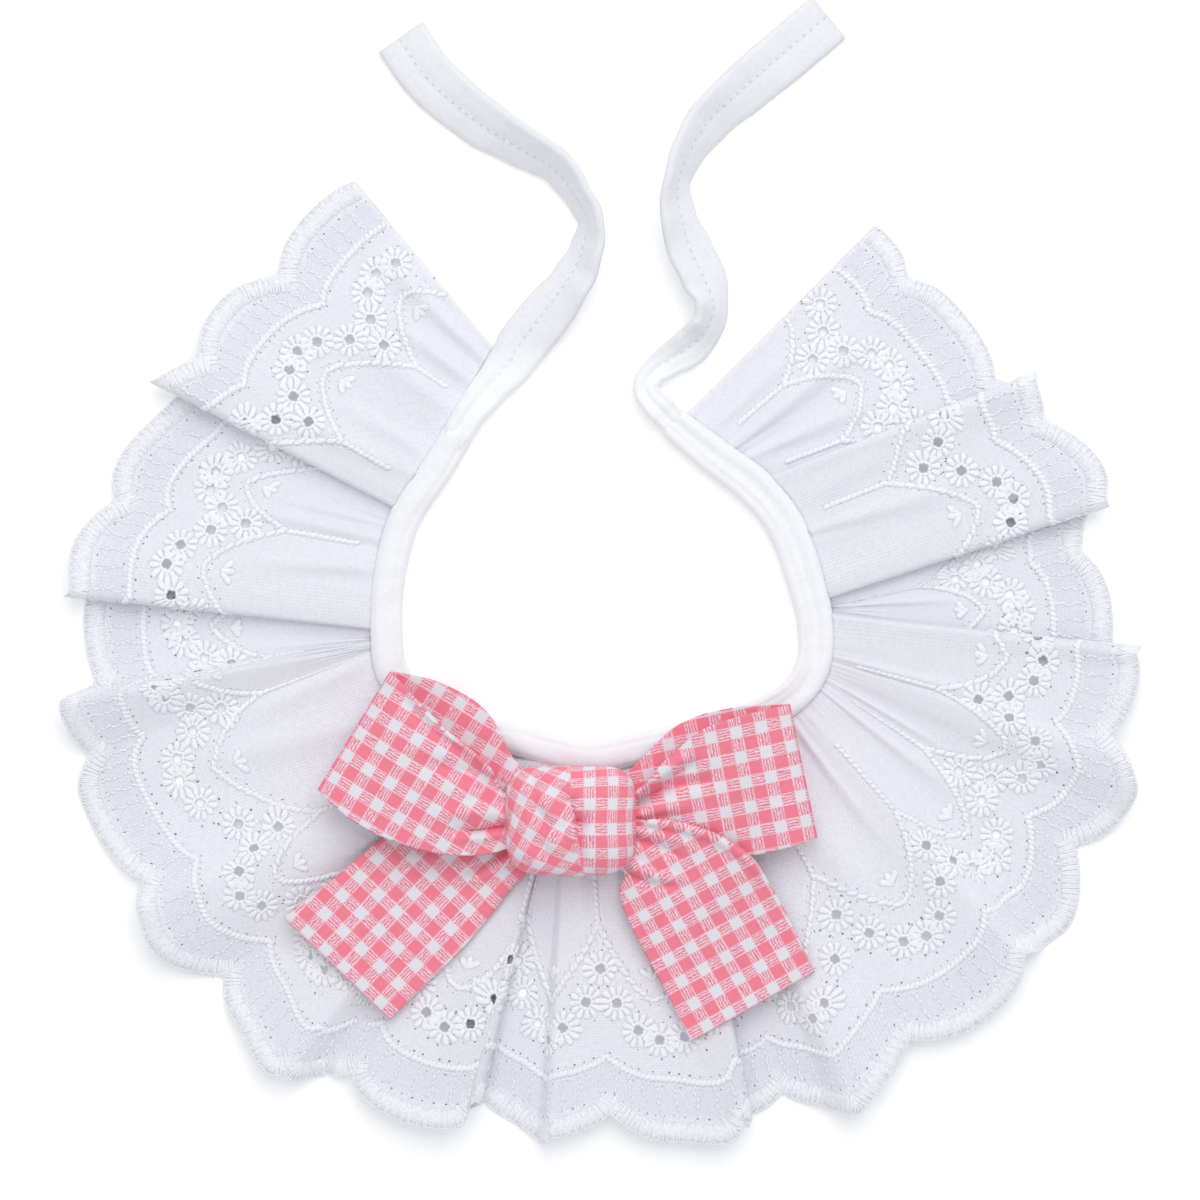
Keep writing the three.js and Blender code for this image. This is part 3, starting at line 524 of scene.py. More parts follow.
def lace_cloth(name, first, last, material):
    """A stretch of the lawn between two places along it, its eyelets cut, as a thin shell."""
    columns = round((last - first) / LACE_CELL)
    rows = PATTERN_ROWS + PLAIN_ROWS
    bm = bmesh.new()
    bmesh.ops.create_grid(bm, x_segments=columns, y_segments=rows, size=0.5)
    place = np.array([vert.co[:2] for vert in bm.verts]) + 0.5
    along = first + place[:, 0] * (last - first)
    row = place[:, 1] * rows
    full = on_strip("depth", along) + SEAM_TUCK
    split = np.minimum(PATTERN_DEPTH, PATTERN_SHARE * full)
    edge = -hem_arch(along)
    inward = np.where(
        row <= PATTERN_ROWS,
        edge + (split - edge) * row / PATTERN_ROWS,
        split + (full - split) * (row - PATTERN_ROWS) / PLAIN_ROWS,
    )
    for vert, x, y in zip(bm.verts, along, inward):
        vert.co = (x, y, 0)
    bm.verts.ensure_lookup_table()
    rims, cut = [], []
    for index, (centre, _) in enumerate(eyelets):
        near = np.nonzero(np.abs(along - centre) < EYELET_SEARCH)[0]
        aside, rise = from_flat(index, along[near], inward[near])
        away = np.hypot(aside, rise)
        cut += [bm.verts[k] for k in near[away < EYELET_RADIUS]]
        around = near[(away >= EYELET_RADIUS) & (away < EYELET_RADIUS + RIM_SEARCH * LACE_CELL)]
        rims.append((index, [bm.verts[k] for k in around]))
    bmesh.ops.delete(bm, geom=cut, context="VERTS")
    for index, around in rims:
        for vert in around:
            if vert.is_valid and vert.is_boundary:
                aside, rise = from_flat(index, vert.co.x, vert.co.y)
                if math.hypot(aside, rise) < EYELET_RADIUS + RIM_REACH * LACE_CELL:
                    share = EYELET_RADIUS / math.hypot(aside, rise)
                    vert.co.x, vert.co.y = to_flat(index, aside * share, rise * share)
    shell = bpy.data.meshes.new(name)
    bm.to_mesh(shell)
    bm.free()
    flat = np.zeros(len(shell.vertices) * 3)
    shell.vertices.foreach_get("co", flat)
    flat = flat.reshape(-1, 3)
    corner = np.zeros(len(shell.loops), int)
    shell.loops.foreach_get("vertex_index", corner)
    shell.uv_layers.new(name="flat").data.foreach_set("uv", flat[corner, :2].ravel())
    placed = lace_point(flat[:, 0], flat[:, 1]) * MM
    shell.vertices.foreach_set("co", placed.ravel())
    return finish_piece(name, shell, material, LAWN_THICKNESS)


def finish_piece(name, made, material, thickness):
    """A smooth piece of the collar from its mesh, with a wall of cloth where it has a thickness."""
    made.polygons.foreach_set("use_smooth", [True] * len(made.polygons))
    made.materials.append(material)
    made.update()
    piece = bpy.data.objects.new(name, made)
    scene.collection.objects.link(piece)
    if thickness:
        wall = piece.modifiers.new("wall", "SOLIDIFY")
        wall.thickness = thickness * MM
        wall.offset = 0
    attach(piece, "root")
    return piece


def wire(tree, kind, inputs=(), **settings):
    """One shader node, its settings made and its inputs given as values or as other nodes' outputs."""
    made = tree.nodes.new(kind)
    for name, value in settings.items():
        setattr(made, name, value)
    for key, value in dict(inputs).items():
        if isinstance(value, bpy.types.NodeSocket):
            tree.links.new(value, made.inputs[key])
        else:
            made.inputs[key].default_value = value
    return made


def sums(tree, operation, *values):
    """A Math node's output."""
    return wire(tree, "ShaderNodeMath", dict(enumerate(values)), operation=operation).outputs[0]


def vectors(tree, operation, values):
    """A Vector Math node's output."""
    return wire(tree, "ShaderNodeVectorMath", values, operation=operation).outputs[0]


def fade(tree, value, nought, full):
    """From 0 to 1 as a value goes from one place to another."""
    ends = {"Value": value, "From Min": nought, "From Max": full}
    return wire(tree, "ShaderNodeMapRange", ends).outputs[0]


def spread(tree, across, aside):
    """How far a place is from a middle, from its distances each way."""
    squares = [sums(tree, "MULTIPLY", way, way) for way in (across, aside)]
    return sums(tree, "SQRT", sums(tree, "ADD", *squares))


def tone_ramp(tree, tone, *stops):
    """A Color Ramp between two stops of (place, colour), read by a value."""
    ramp = wire(tree, "ShaderNodeValToRGB", {"Fac": tone})
    for element, (place, color) in zip(ramp.color_ramp.elements, stops):
        element.position = place
        element.color = (*color, 1)
    return ramp.outputs["Color"]


def mixed_colour(tree, amount, first, second):
    """A Mix node's colour: first and second are colours or other nodes' outputs."""
    made = wire(tree, "ShaderNodeMix", data_type="RGBA")
    for key, value in ((0, amount), (6, first), (7, second)):
        if isinstance(value, bpy.types.NodeSocket):
            tree.links.new(value, made.inputs[key])
        else:
            made.inputs[key].default_value = (*value, 1)
    return made.outputs[2]


def raise_threads(tree, shader, height, strength, distance):
    """Low relief from a height, in metres."""
    relief = wire(
        tree, "ShaderNodeBump", {"Strength": strength, "Distance": distance, "Height": height}
    )
    tree.links.new(relief.outputs[0], shader.inputs["Normal"])


def new_group(name, inputs, outputs):
    """A shader node group with number or vector sockets, its inner tree, and its input and output."""
    tree = bpy.data.node_groups.new(name, "ShaderNodeTree")
    for socket, kind in inputs:
        tree.interface.new_socket(socket, in_out="INPUT", socket_type=kind)
    for socket in outputs:
        tree.interface.new_socket(socket, in_out="OUTPUT", socket_type="NodeSocketFloat")
    return tree, tree.nodes.new("NodeGroupInput"), tree.nodes.new("NodeGroupOutput")


# Plain weave, as crossed rows of round threads with uneven thickness: shared by lawn, tape and gingham.
weave, given, result = new_group(
    "plain_weave",
    (("Flat", "NodeSocketVector"), ("Thread", "NodeSocketFloat")),
    ("Height", "Slub"),
)
parts = wire(weave, "ShaderNodeSeparateXYZ", {0: given.outputs["Flat"]})
pores, crossings = [], []
for axis in ("X", "Y"):
    turn = sums(weave, "DIVIDE", parts.outputs[axis], given.outputs["Thread"])
    full_turn = sums(weave, "COSINE", sums(weave, "MULTIPLY", turn, 2 * math.pi))
    pores.append(sums(weave, "MULTIPLY_ADD", full_turn, 0.5, 0.5))
    crossings.append(sums(weave, "SINE", sums(weave, "MULTIPLY", turn, math.pi)))
pore = sums(weave, "MULTIPLY", *pores)
over_under = sums(weave, "MULTIPLY_ADD", sums(weave, "MULTIPLY", *crossings), 0.15, 0.15)
slub = wire(
    weave,
    "ShaderNodeTexNoise",
    {"Vector": given.outputs["Flat"], "Scale": 0.9, "Detail": 3.0},
)
height = sums(weave, "MULTIPLY_ADD", pore, -0.7, sums(weave, "ADD", over_under, 0.7))
weave.links.new(height, result.inputs["Height"])
weave.links.new(slub.outputs["Fac"], result.inputs["Slub"])


def woven(tree, pitch):
    """The cloth's flat coordinates in millimetres, and its weave at a pitch of threads."""
    flat = wire(tree, "ShaderNodeUVMap", uv_map="flat").outputs[0]
    threads = wire(tree, "ShaderNodeGroup", {"Flat": flat, "Thread": pitch}, node_tree=weave)
    return flat, threads.outputs


def woven_tone(tree, threads, gap_shade_by_height, by_slub):
    """How light a cloth is: painted shade in the gaps between threads, and their uneven thickness."""
    tone = sums(tree, "MULTIPLY", threads["Height"], gap_shade_by_height)
    return sums(tree, "MULTIPLY_ADD", threads["Slub"], by_slub, tone)


LAWN_WHITE = (0.79, 0.80, 0.86)
LAWN_TONES = ((0.1, (0.685, 0.685, 0.76)), (0.72, (0.875, 0.875, 0.93)))
# painted shade, for what is seen through the pinholes
PINHOLE_SHADE = (0.1, 0.1, 0.12)
THREAD_PITCH = 0.62  # coarse enough to show, as this lawn's threads do
ARCH_APEX = 26.0
ARCH_RISE = 18.0
ARCH_BEND = 1.5
HOLE_ROWS = (  # start, how far it follows the scallops, pitch, radius
    (14.4, 5.4, 2.1, 0.25),
    (5.3, 6.6, 2.3, 0.22),
    (11.3, 5.6, 4.1, 0.2),
)
ARCH_HOLE_ROWS = ((-1.5, 1.7), (1.4, 2.3))  # from the arch's middle, and pitch
ARCH_HOLE = 0.2
FLOWER_HOLE_RING, FLOWER_HOLE = 4.5, 0.26
PATTERN_END = 46.0
THIN_FROM, THIN_TO = (5.4, 6.6), (11.6, 5.4)  # the ladder's panels: start, how far it follows
lawn, shader = new_material("white_lawn", LAWN_WHITE, 0.85)
shader.inputs["Sheen Weight"].default_value = 0.12
shader.inputs["Subsurface Weight"].default_value = 1.0
shader.inputs["Subsurface Radius"].default_value = (1.0, 1.0, 1.0)
shader.inputs["Subsurface Scale"].default_value = 0.0004
tree = lawn.node_tree
flat, threads = woven(tree, THREAD_PITCH)
run, rise = wire(tree, "ShaderNodeSeparateXYZ", {0: flat}).outputs[:2]


def repeat(value, pitch):
    """How far a place lies from the middle of the repeat that it is in."""
    return sums(tree, "SUBTRACT", sums(tree, "FLOORED_MODULO", value, pitch), pitch / 2)


def soft_dot(across, aside, radius):
    """A dot with a soft edge, from how far a place is from its middle each way."""
    return fade(tree, spread(tree, across, aside), 1.25 * radius, 0.6 * radius)


# Pinholes where the needle pulled the threads apart: rows that follow the scallops, a row on each
# side of the arches, and a ring round each flower. They are painted dark: painted shade, for what
# is seen through them.
half = SCALLOP / 2
aside = repeat(run, SCALLOP)
under_root = sums(tree, "SUBTRACT", SCALLOP_RADIUS**2, sums(tree, "MULTIPLY", aside, aside))
bulge = sums(tree, "SUBTRACT", sums(tree, "SQRT", under_root), SCALLOP_RADIUS - SCALLOP_DEPTH)
bulge = sums(tree, "DIVIDE", bulge, SCALLOP_DEPTH)


def scallop_row(start, arch):
    """A line along the lace that follows its scallops."""
    return sums(tree, "SUBTRACT", start, sums(tree, "MULTIPLY", bulge, arch))


dots = []
for start, arch, pitch, radius in HOLE_ROWS:
    from_row = sums(tree, "SUBTRACT", rise, scallop_row(start, arch))
    dots.append(soft_dot(from_row, repeat(run, pitch), radius))
outward = sums(tree, "DIVIDE", sums(tree, "ABSOLUTE", aside), half)
arch_height = sums(tree, "MULTIPLY", sums(tree, "POWER", outward, ARCH_BEND), ARCH_RISE)
arch_height = sums(tree, "ADD", arch_height, ARCH_APEX)
slope = sums(tree, "POWER", outward, ARCH_BEND - 1)
slope = sums(tree, "MULTIPLY", slope, ARCH_RISE * ARCH_BEND / half)
slant = sums(tree, "SQRT", sums(tree, "MULTIPLY_ADD", slope, slope, 1.0))
from_arch = sums(tree, "DIVIDE", sums(tree, "SUBTRACT", rise, arch_height), slant)
for offset, pitch in ARCH_HOLE_ROWS:
    along_arch = sums(tree, "MULTIPLY", repeat(run, pitch), slant)
    dots.append(soft_dot(sums(tree, "ADD", from_arch, offset), along_arch, ARCH_HOLE))
for number, (place, inward) in enumerate(EYELETS):
    left = repeat(sums(tree, "SUBTRACT", run, place - half), SCALLOP)
    up = sums(tree, "SUBTRACT", rise, inward)
    away = spread(tree, left, up)
    sector = 2 * math.pi / (8 + number % 3)
    turn = repeat(sums(tree, "ADD", sums(tree, "ARCTAN2", up, left), 7 + number), sector)
    across = sums(tree, "MULTIPLY", away, sums(tree, "COSINE", turn))
    across = sums(tree, "SUBTRACT", across, FLOWER_HOLE_RING)
    dots.append(soft_dot(across, sums(tree, "MULTIPLY", away, sums(tree, "SINE", turn)), FLOWER_HOLE))
pinholes = dots[0]
for dot in dots[1:]:
    pinholes = sums(tree, "MAXIMUM", pinholes, dot)
# Some are closed up again by the cloth, and none stand in the plain cloth near the neck.
patches = wire(tree, "ShaderNodeTexNoise", {"Vector": flat, "Scale": 0.5}).outputs["Fac"]
pinholes = sums(tree, "MULTIPLY", pinholes, fade(tree, patches, 0.38, 0.56))
pinholes = sums(tree, "MULTIPLY", pinholes, sums(tree, "LESS_THAN", rise, PATTERN_END))

# The panels between the ladder's bars are drawn thin, and let more of what lies under them through:
# they are painted darker, as painted shade of what lies under them.
panels = sums(
    tree,
    "MULTIPLY",
    sums(tree, "GREATER_THAN", rise, scallop_row(*THIN_FROM)),
    sums(tree, "LESS_THAN", rise, scallop_row(*THIN_TO)),
)
# The weave's tone paints shade into the gaps between the lawn's threads.
tone = sums(tree, "MULTIPLY_ADD", panels, -0.12, woven_tone(tree, threads, 0.45, 0.5))
cloth_tone = tone_ramp(tree, tone, *LAWN_TONES)
# The pinholes are painted dark: painted shade, for what is seen through them.
pinhole_shaded = mixed_colour(tree, sums(tree, "MULTIPLY", pinholes, 0.85), cloth_tone, PINHOLE_SHADE)
tree.links.new(pinhole_shaded, shader.inputs["Base Color"])
raise_threads(tree, shader, threads["Height"], 0.45, 0.00012)

LAWN_PARTS = (  # name, from and to in scallops, and the solids it stands for
    ("left_lawn", 0.14, 12.5, ("ruffle_left_shoulder", "ruffle_left_front")),
    ("right_lawn", 12.5, 26.47, ("ruffle_right_front", "ruffle_right_shoulder")),
)
for name, first, last, solids in LAWN_PARTS:
    piece = lace_cloth(name, first * SCALLOP, last * SCALLOP, lawn)
    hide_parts(*solids)

# The embroidery on the lace: white cotton thread over padding, worked through the lawn so that it
# stands up on both faces. Satin edge, ladder bars, padded cord, flowers round eyelets, and arches.
FIBRE_SCALE = 1600.0
THREAD_TONES = ((0.3, (0.84, 0.845, 0.895)), (0.6, (0.945, 0.95, 0.985)))
embroidery, shader = new_material("white_thread", (0.93, 0.935, 0.965), 0.6)
shader.inputs["Sheen Weight"].default_value = 0.15


def thread_fibres(tree, shader, strength, distance):
    """Fine fibres of a thread in low relief, and their noise."""
    spot = wire(tree, "ShaderNodeTexCoord").outputs["Object"]
    noise = wire(tree, "ShaderNodeTexNoise", {"Vector": spot, "Scale": FIBRE_SCALE, "Detail": 2.0})
    raise_threads(tree, shader, noise.outputs["Fac"], strength, distance)
    return noise.outputs["Fac"]


tree = embroidery.node_tree
fibres = thread_fibres(tree, shader, 0.35, 0.00015)
tree.links.new(tone_ramp(tree, fibres, *THREAD_TONES), shader.inputs["Base Color"])


def bead(length, width, height, fullness=0.7, taper=0.0, sides=6, rings=4):
    """A padded stitch along X: a sphere drawn out to size, fuller at its ends, narrower at its start."""
    bm = bmesh.new()
    bmesh.ops.create_uvsphere(bm, u_segments=sides, v_segments=rings, radius=1)
    bmesh.ops.rotate(bm, verts=bm.verts, matrix=Matrix.Rotation(math.pi / 2, 3, "Y"))
    for vert in bm.verts:
        x = math.copysign(abs(vert.co.x) ** fullness, vert.co.x)
        narrow = 1 - taper * (0.5 - 0.5 * x)
        vert.co = (x * length / 2, vert.co.y * width / 2 * narrow, vert.co.z * height / 2)
    points = np.array([vert.co[:] for vert in bm.verts])
    faces = [[vert.index for vert in face.verts] for face in bm.faces]
    bm.free()
    return points, faces


def joined_stitches(name, groups, material):
    """All copies of some stitches in one mesh: groups of (places in metres, the stitch's faces)."""
    points, faces, start = [], [], 0
    for placed, shape in groups:
        copies, count = placed.shape[:2]
        points.append(placed.reshape(-1, 3))
        offsets = start + np.arange(copies) * count
        faces += [[k + offset for k in face] for offset in offsets for face in shape]
        start += copies * count
    made = bpy.data.meshes.new(name)
    made.from_pydata(np.concatenate(points), [], faces)
    piece = finish_piece(name, made, material, 0)
    return piece


# Limits on how far the cloth's gathering may stretch a stitch in its flat place.
LEAST_RUN, LEAST_SQUARE = 0.45, 0.15


def sewn(stitch, along, inward, heading, turn, lift=0.1):
    """Copies of a stitch at true size on the lace: turned from a heading on the flat cloth."""
    run, rise = lace_slopes(along, inward)
    run_run = np.maximum((run * run).sum(-1), LEAST_RUN**2)
    rise_rise = np.maximum((rise * rise).sum(-1), LEAST_RUN**2)
    run_rise = (run * rise).sum(-1)
    across = np.maximum(run_run * rise_rise - run_rise**2, LEAST_SQUARE)
    upright = np.cross(run, rise)
    upright /= np.linalg.norm(upright, axis=-1)[:, None]
    forward = run * np.cos(heading)[:, None] + rise * np.sin(heading)[:, None]
    forward /= np.linalg.norm(forward, axis=-1)[:, None]
    sideways = np.cross(upright, forward)
    turn = np.broadcast_to(turn, along.shape)[:, None]
    steps = []
    for way in (
        forward * np.cos(turn) + sideways * np.sin(turn),
        sideways * np.cos(turn) - forward * np.sin(turn),
    ):
        on_run, on_rise = (way * run).sum(-1), (way * rise).sum(-1)
        steps.append(
            (
                (rise_rise * on_run - run_rise * on_rise) / across,
                (run_run * on_rise - run_rise * on_run) / across,
            )
        )
    x, y, z = stitch[0].T
    flat_along = along[:, None] + steps[0][0][:, None] * x + steps[1][0][:, None] * y
    flat_inward = inward[:, None] + steps[0][1][:, None] * x + steps[1][1][:, None] * y
    flat_along = np.clip(flat_along, *LACE_ENDS)
    height = np.broadcast_to(z + lift, flat_along.shape)
    return on_lace(flat_along, flat_inward, height), stitch[1]


def curve_steps(curve, pitch, first=LACE_ENDS[0], last=LACE_ENDS[1]):
    """True even steps along a curve on the flat cloth: their places and the curve's heading there."""
    dense = np.arange(first, last, 0.05)
    laid = lace_point(dense, curve(dense))
    run = np.concatenate([[0], np.cumsum(np.linalg.norm(np.diff(laid, axis=0), axis=1))])
    along = np.interp(np.arange(pitch / 2, run[-1], pitch), run, dense)
    heading = np.arctan2(curve(along + 0.1) - curve(along - 0.1), 0.2)
    return along, curve(along), heading


def within(along, margin):
    return (along > LACE_ENDS[0] + margin) & (along < LACE_ENDS[1] - margin)


def arch_line(start, arch):
    return lambda along: start - arch * hem_arch(along) / SCALLOP_DEPTH


def kept(keep, *columns):
    return [column[keep] for column in columns]


# Satin edge: upright stitches side by side, with a bound rim outside them.
SATIN_WIDTH = 4.7
along, inward, heading = kept(slice(None), *curve_steps(arch_line(SATIN_WIDTH / 2 - 0.3, 6.9), 0.43))
along, inward, heading = kept(within(along, 0.6), along, inward, heading)
sway = 0.05 * np.sin(along * 1.7) + 0.04 * np.sin(along * 4.1)
longer = 0.2 * np.sin(along * 5.3)
satin = bead(SATIN_WIDTH, 0.66, 0.78, fullness=0.4)
satin_places = sewn(satin, along, inward + longer, heading, math.pi / 2 + sway)
rim_along, rim_inward, rim_heading = curve_steps(arch_line(-0.25, 6.97), 0.62)
rim_along, rim_inward, rim_heading = kept(within(rim_along, 0.6), rim_along, rim_inward, rim_heading)
rim = sewn(bead(0.8, 0.62, 0.75, fullness=0.85), rim_along, rim_inward, rim_heading, 0.9, lift=0.05)
satin_edge = joined_stitches("satin_edge", [satin_places, rim], embroidery)

# Ladder: threads worked over one another across the band between the satin edge and the padded cord.
BARS_PER_SCALLOP = 8
TWISTS = 6
bar_along = (np.arange(0, SCALLOPS * BARS_PER_SCALLOP) + 0.5) * SCALLOP / BARS_PER_SCALLOP
bar_along = bar_along[within(bar_along, 2)]
outer, inner = arch_line(4.8, 6.6)(bar_along), arch_line(12.2, 5.4)(bar_along)
twist = bead(1.7, 0.66, 0.55, fullness=0.8, sides=5, rings=4)
upright_heading = np.full(len(bar_along), math.pi / 2)
twists = []
for k in range(TWISTS):
    at = outer + (inner - outer) * (k + 0.5) / TWISTS
    wave = 0.3 * np.sin(k * 1.9 + bar_along * 0.9)
    twists.append(sewn(twist, bar_along + wave, at, upright_heading, 0.35 * (-1) ** k))
ladder_bars = joined_stitches("ladder_bars", twists, embroidery)

# Padded cord that follows the scallops inside the ladder.
along, inward, heading = curve_steps(arch_line(12.9, 5.4), 1.2)
along, inward, heading = kept(within(along, 1), along, inward, heading)
knot_stitch = bead(2.1, 1.5, 1.0, fullness=0.75)
cord_knots = sewn(knot_stitch, along, inward, heading, 0.95 + 0.15 * np.sin(along * 2.3))
padded_cord = joined_stitches("padded_cord", [cord_knots], embroidery)

# Flowers: an overcast ring round each eyelet, and satin petals round the ring.
PETALS = 12
RING_STITCHES = 10
PETAL_LENGTH = 2.5
RING_REACH = 1.5
petal = bead(PETAL_LENGTH, 2.1, 0.6, fullness=0.55, taper=0.5, sides=6, rings=6)
ring_stitch = bead(1.4, 1.0, 0.7, fullness=0.75)
flower_groups = []
for index in range(len(eyelets)):
    spin = 0.7 * index
    for stitch, count, reach, across in (
        (petal, PETALS, RING_REACH + 0.15 + PETAL_LENGTH / 2, 0.0),
        (ring_stitch, RING_STITCHES, RING_REACH, math.pi / 2),
    ):
        turn = spin + np.arange(count) * 2 * math.pi / count
        uneven = reach + 0.12 * np.sin(np.arange(count) * 2.7 + index)
        x, y, z = stitch[0].T
        cos, sin = np.cos(turn + across)[:, None], np.sin(turn + across)[:, None]
        aside = x * cos - y * sin + (uneven * np.cos(turn))[:, None]
        rise = x * sin + y * cos + (uneven * np.sin(turn))[:, None]
        flat_along, flat_inward = to_flat(index, aside, rise)
        flat_along = np.clip(flat_along, *LACE_ENDS)
        height = np.broadcast_to(z + 0.1, aside.shape)
        flower_groups.append((on_lace(flat_along, flat_inward, height), stitch[1]))
eyelet_flowers = joined_stitches("eyelet_flowers", flower_groups, embroidery)


# Arches of padded stitches open towards the neck, each with a small three-lobed leaf inside, and a
# stem from each joint that runs on towards the neck.
def arch_curve(along):
    aside = np.abs(np.mod(along, SCALLOP) / SCALLOP - 0.5) * 2
    return ARCH_APEX + ARCH_RISE * aside**ARCH_BEND


STEM_STITCHES = 13
along, inward, heading = curve_steps(arch_curve, 1.25)
keep = within(along, 1.2) & (inward < on_strip("depth", along) - 2)
along, inward, heading = kept(keep, along, inward, heading)
stem_stitch = bead(2.0, 1.45, 0.95, fullness=0.75)
wobble = 0.25 * np.sin(along * 3.7)
arches = [sewn(stem_stitch, along, inward + wobble, heading, 0.6)]
joints = np.arange(1, 27) * SCALLOP
for k in range(STEM_STITCHES):
    at = ARCH_APEX + ARCH_RISE + 1.2 + 1.6 * k
    reach = joints[at < on_strip("depth", joints) - 5]
    if len(reach):
        upright_heading = np.full(len(reach), math.pi / 2)
        arches.append(sewn(stem_stitch, reach, np.full(len(reach), at), upright_heading, 0.45))
LOBES = ((-0.8, -1.5, 0.2), (0.0, 0.0, 0.0), (0.8, 1.5, 0.2))  # lean, aside, lower
lobe = bead(3.8, 2.3, 0.9, fullness=0.75, taper=0.5, rings=5)
middles = (np.arange(0, 26) + 0.5) * SCALLOP
middles = middles[within(middles, 8)]
for lean, aside, lower in LOBES:
    at = np.full(len(middles), ARCH_APEX + 6.4 - lower)
    arches.append(sewn(lobe, middles + aside, at, np.full(len(middles), math.pi / 2), -lean))
stem_arches = joined_stitches("stem_arches", arches, embroidery)

# The neck binding: a strip of cotton bias tape folded over the gathered edge of the lace and stitched
# down, slightly puckered by the stitching. Its flat underside rests on the table.
BINDING_HEIGHT = 4.4
BINDING_SQUARENESS = 0.95
TAPE_THREAD = 0.45


def tape_material(name, dark, light):
    """White cotton tape: a fine weave, with slightly uneven threads between two tones."""
    made, shader = new_material(name, light, 0.7)
    shader.inputs["Sheen Weight"].default_value = 0.1
    tree = made.node_tree
    _, threads = woven(tree, TAPE_THREAD)
    # The tape's tone has painted shade in the gaps between its threads.
    tape_tone = tone_ramp(tree, woven_tone(tree, threads, 0.4, 0.6), (0.2, dark), (0.75, light))
    tree.links.new(tape_tone, shader.inputs["Base Color"])
    raise_threads(tree, shader, threads["Height"], 0.35, 0.0001)
    return made


tape = tape_material("bias_tape", (0.86, 0.865, 0.905), (0.95, 0.955, 0.975))


def tube_mesh(name, points, flat):
    """A tube of tape through rings of points, open at its ends, with flat cloth coordinates as UVs."""
    rings, sides = points.shape[:2]
    bm = bmesh.new()
    bmesh.ops.create_grid(bm, x_segments=rings - 1, y_segments=sides, size=0.5)
    uv = bm.loops.layers.uv.new("flat")
    for vert in bm.verts:
        ring = round((vert.co.x + 0.5) * (rings - 1))
        side = round((vert.co.y + 0.5) * sides)
        for loop in vert.link_loops:
            loop[uv].uv = flat[ring, side]
        vert.co = Vector(points[ring, side % sides]) * MM
    bmesh.ops.remove_doubles(bm, verts=bm.verts, dist=1e-7)
    bmesh.ops.recalc_face_normals(bm, faces=bm.faces)
    made = bpy.data.meshes.new(name)
    bm.to_mesh(made)
    bm.free()
    return made


def tube_flats(points, run):
    """Flat cloth coordinates of a tube's points: along its run, and round its section."""
    closed = np.concatenate([points, points[:, :1]], axis=1)
    around = np.linalg.norm(np.diff(closed, axis=1), axis=2)
    around = np.concatenate([np.zeros((len(points), 1)), np.cumsum(around, axis=1)], axis=1)
    along = np.broadcast_to(run[:, None], around.shape)
    return np.stack([along, around], -1)


def signed_power(value, power):
    return np.sign(value) * np.abs(value) ** power


BINDING_RINGS = 340
BINDING_SIDES = 40
TAPE_WALL = 0.35
HOLLOW = (1.25, -0.02, 0.42)  # grooves: depth, place from the outer edge, -1, to the neck's, 1, width
INNER_GROOVE = (0.6, 0.5, 0.1)
SEAM_GROOVE = (0.3, -0.8, 0.09)
END_SHARE, END_LENGTH = 0.55, 6.0  # how thin its ends get, where the ties run on from them
FLATTER_FROM, FLATTER_TO = 0.5, 0.68  # the share of its run where the binding turns flatter
points, headings, others, binding_length = level_path(BINDING_ROUTE, BINDING_RINGS)
angle = (np.arange(BINDING_SIDES) + 0.5) * 2 * math.pi / BINDING_SIDES
run = np.linspace(0, binding_length, BINDING_RINGS + 1)[:, None]
over = np.clip(np.sin(angle), 0, 1)[None, :]
neckward = signed_power(np.cos(angle), BINDING_SQUARENESS)[None, :] * np.ones_like(run)
upward = signed_power(np.sin(angle), BINDING_SQUARENESS)[None, :] * np.ones_like(run)
from_end = np.minimum(run, binding_length - run)
slimmer = END_SHARE + (1 - END_SHARE) * smoothstep(0, END_LENGTH, from_end)
aside = neckward * (others[:, :1] / 2 - 0.1) * slimmer
height = slimmer * BINDING_HEIGHT / 2 * (1 + upward)
busy = 0.35 + 0.65 * np.sin(run * 0.085 + 0.6) ** 2
wrinkle = busy * 0.11 * np.sin(run * 0.95 + 1.3 * np.cos(angle) + 1.9 * np.sin(run * 0.17))
wrinkle = wrinkle + 0.16 * np.sin(run * 0.33 + 2.4 * np.cos(angle)) + 0.03 * np.sin(run * 2.3)
flatter = smoothstep(FLATTER_FROM, FLATTER_TO, run / binding_length)
grooves = flatter * hump(neckward, *HOLLOW)
grooves = grooves + (0.6 + 0.6 * flatter) * hump(neckward - 0.06 * np.sin(run * 0.12), *INNER_GROOVE)
grooves = grooves + (1 - flatter) * hump(neckward, *SEAM_GROOVE)
height = height + over * (wrinkle - grooves)
level = points[:, None, :] + left_of(headings)[:, None, :] * aside[..., None]
binding_points = np.concatenate([level, np.clip(height, TAPE_WALL / 2, None)[..., None]], -1)
binding = finish_piece(
    "neck_binding_tape",
    tube_mesh("neck_binding_tape", binding_points, tube_flats(binding_points, run[:, 0])),
    tape,
    TAPE_WALL,
)
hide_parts("neck_binding")

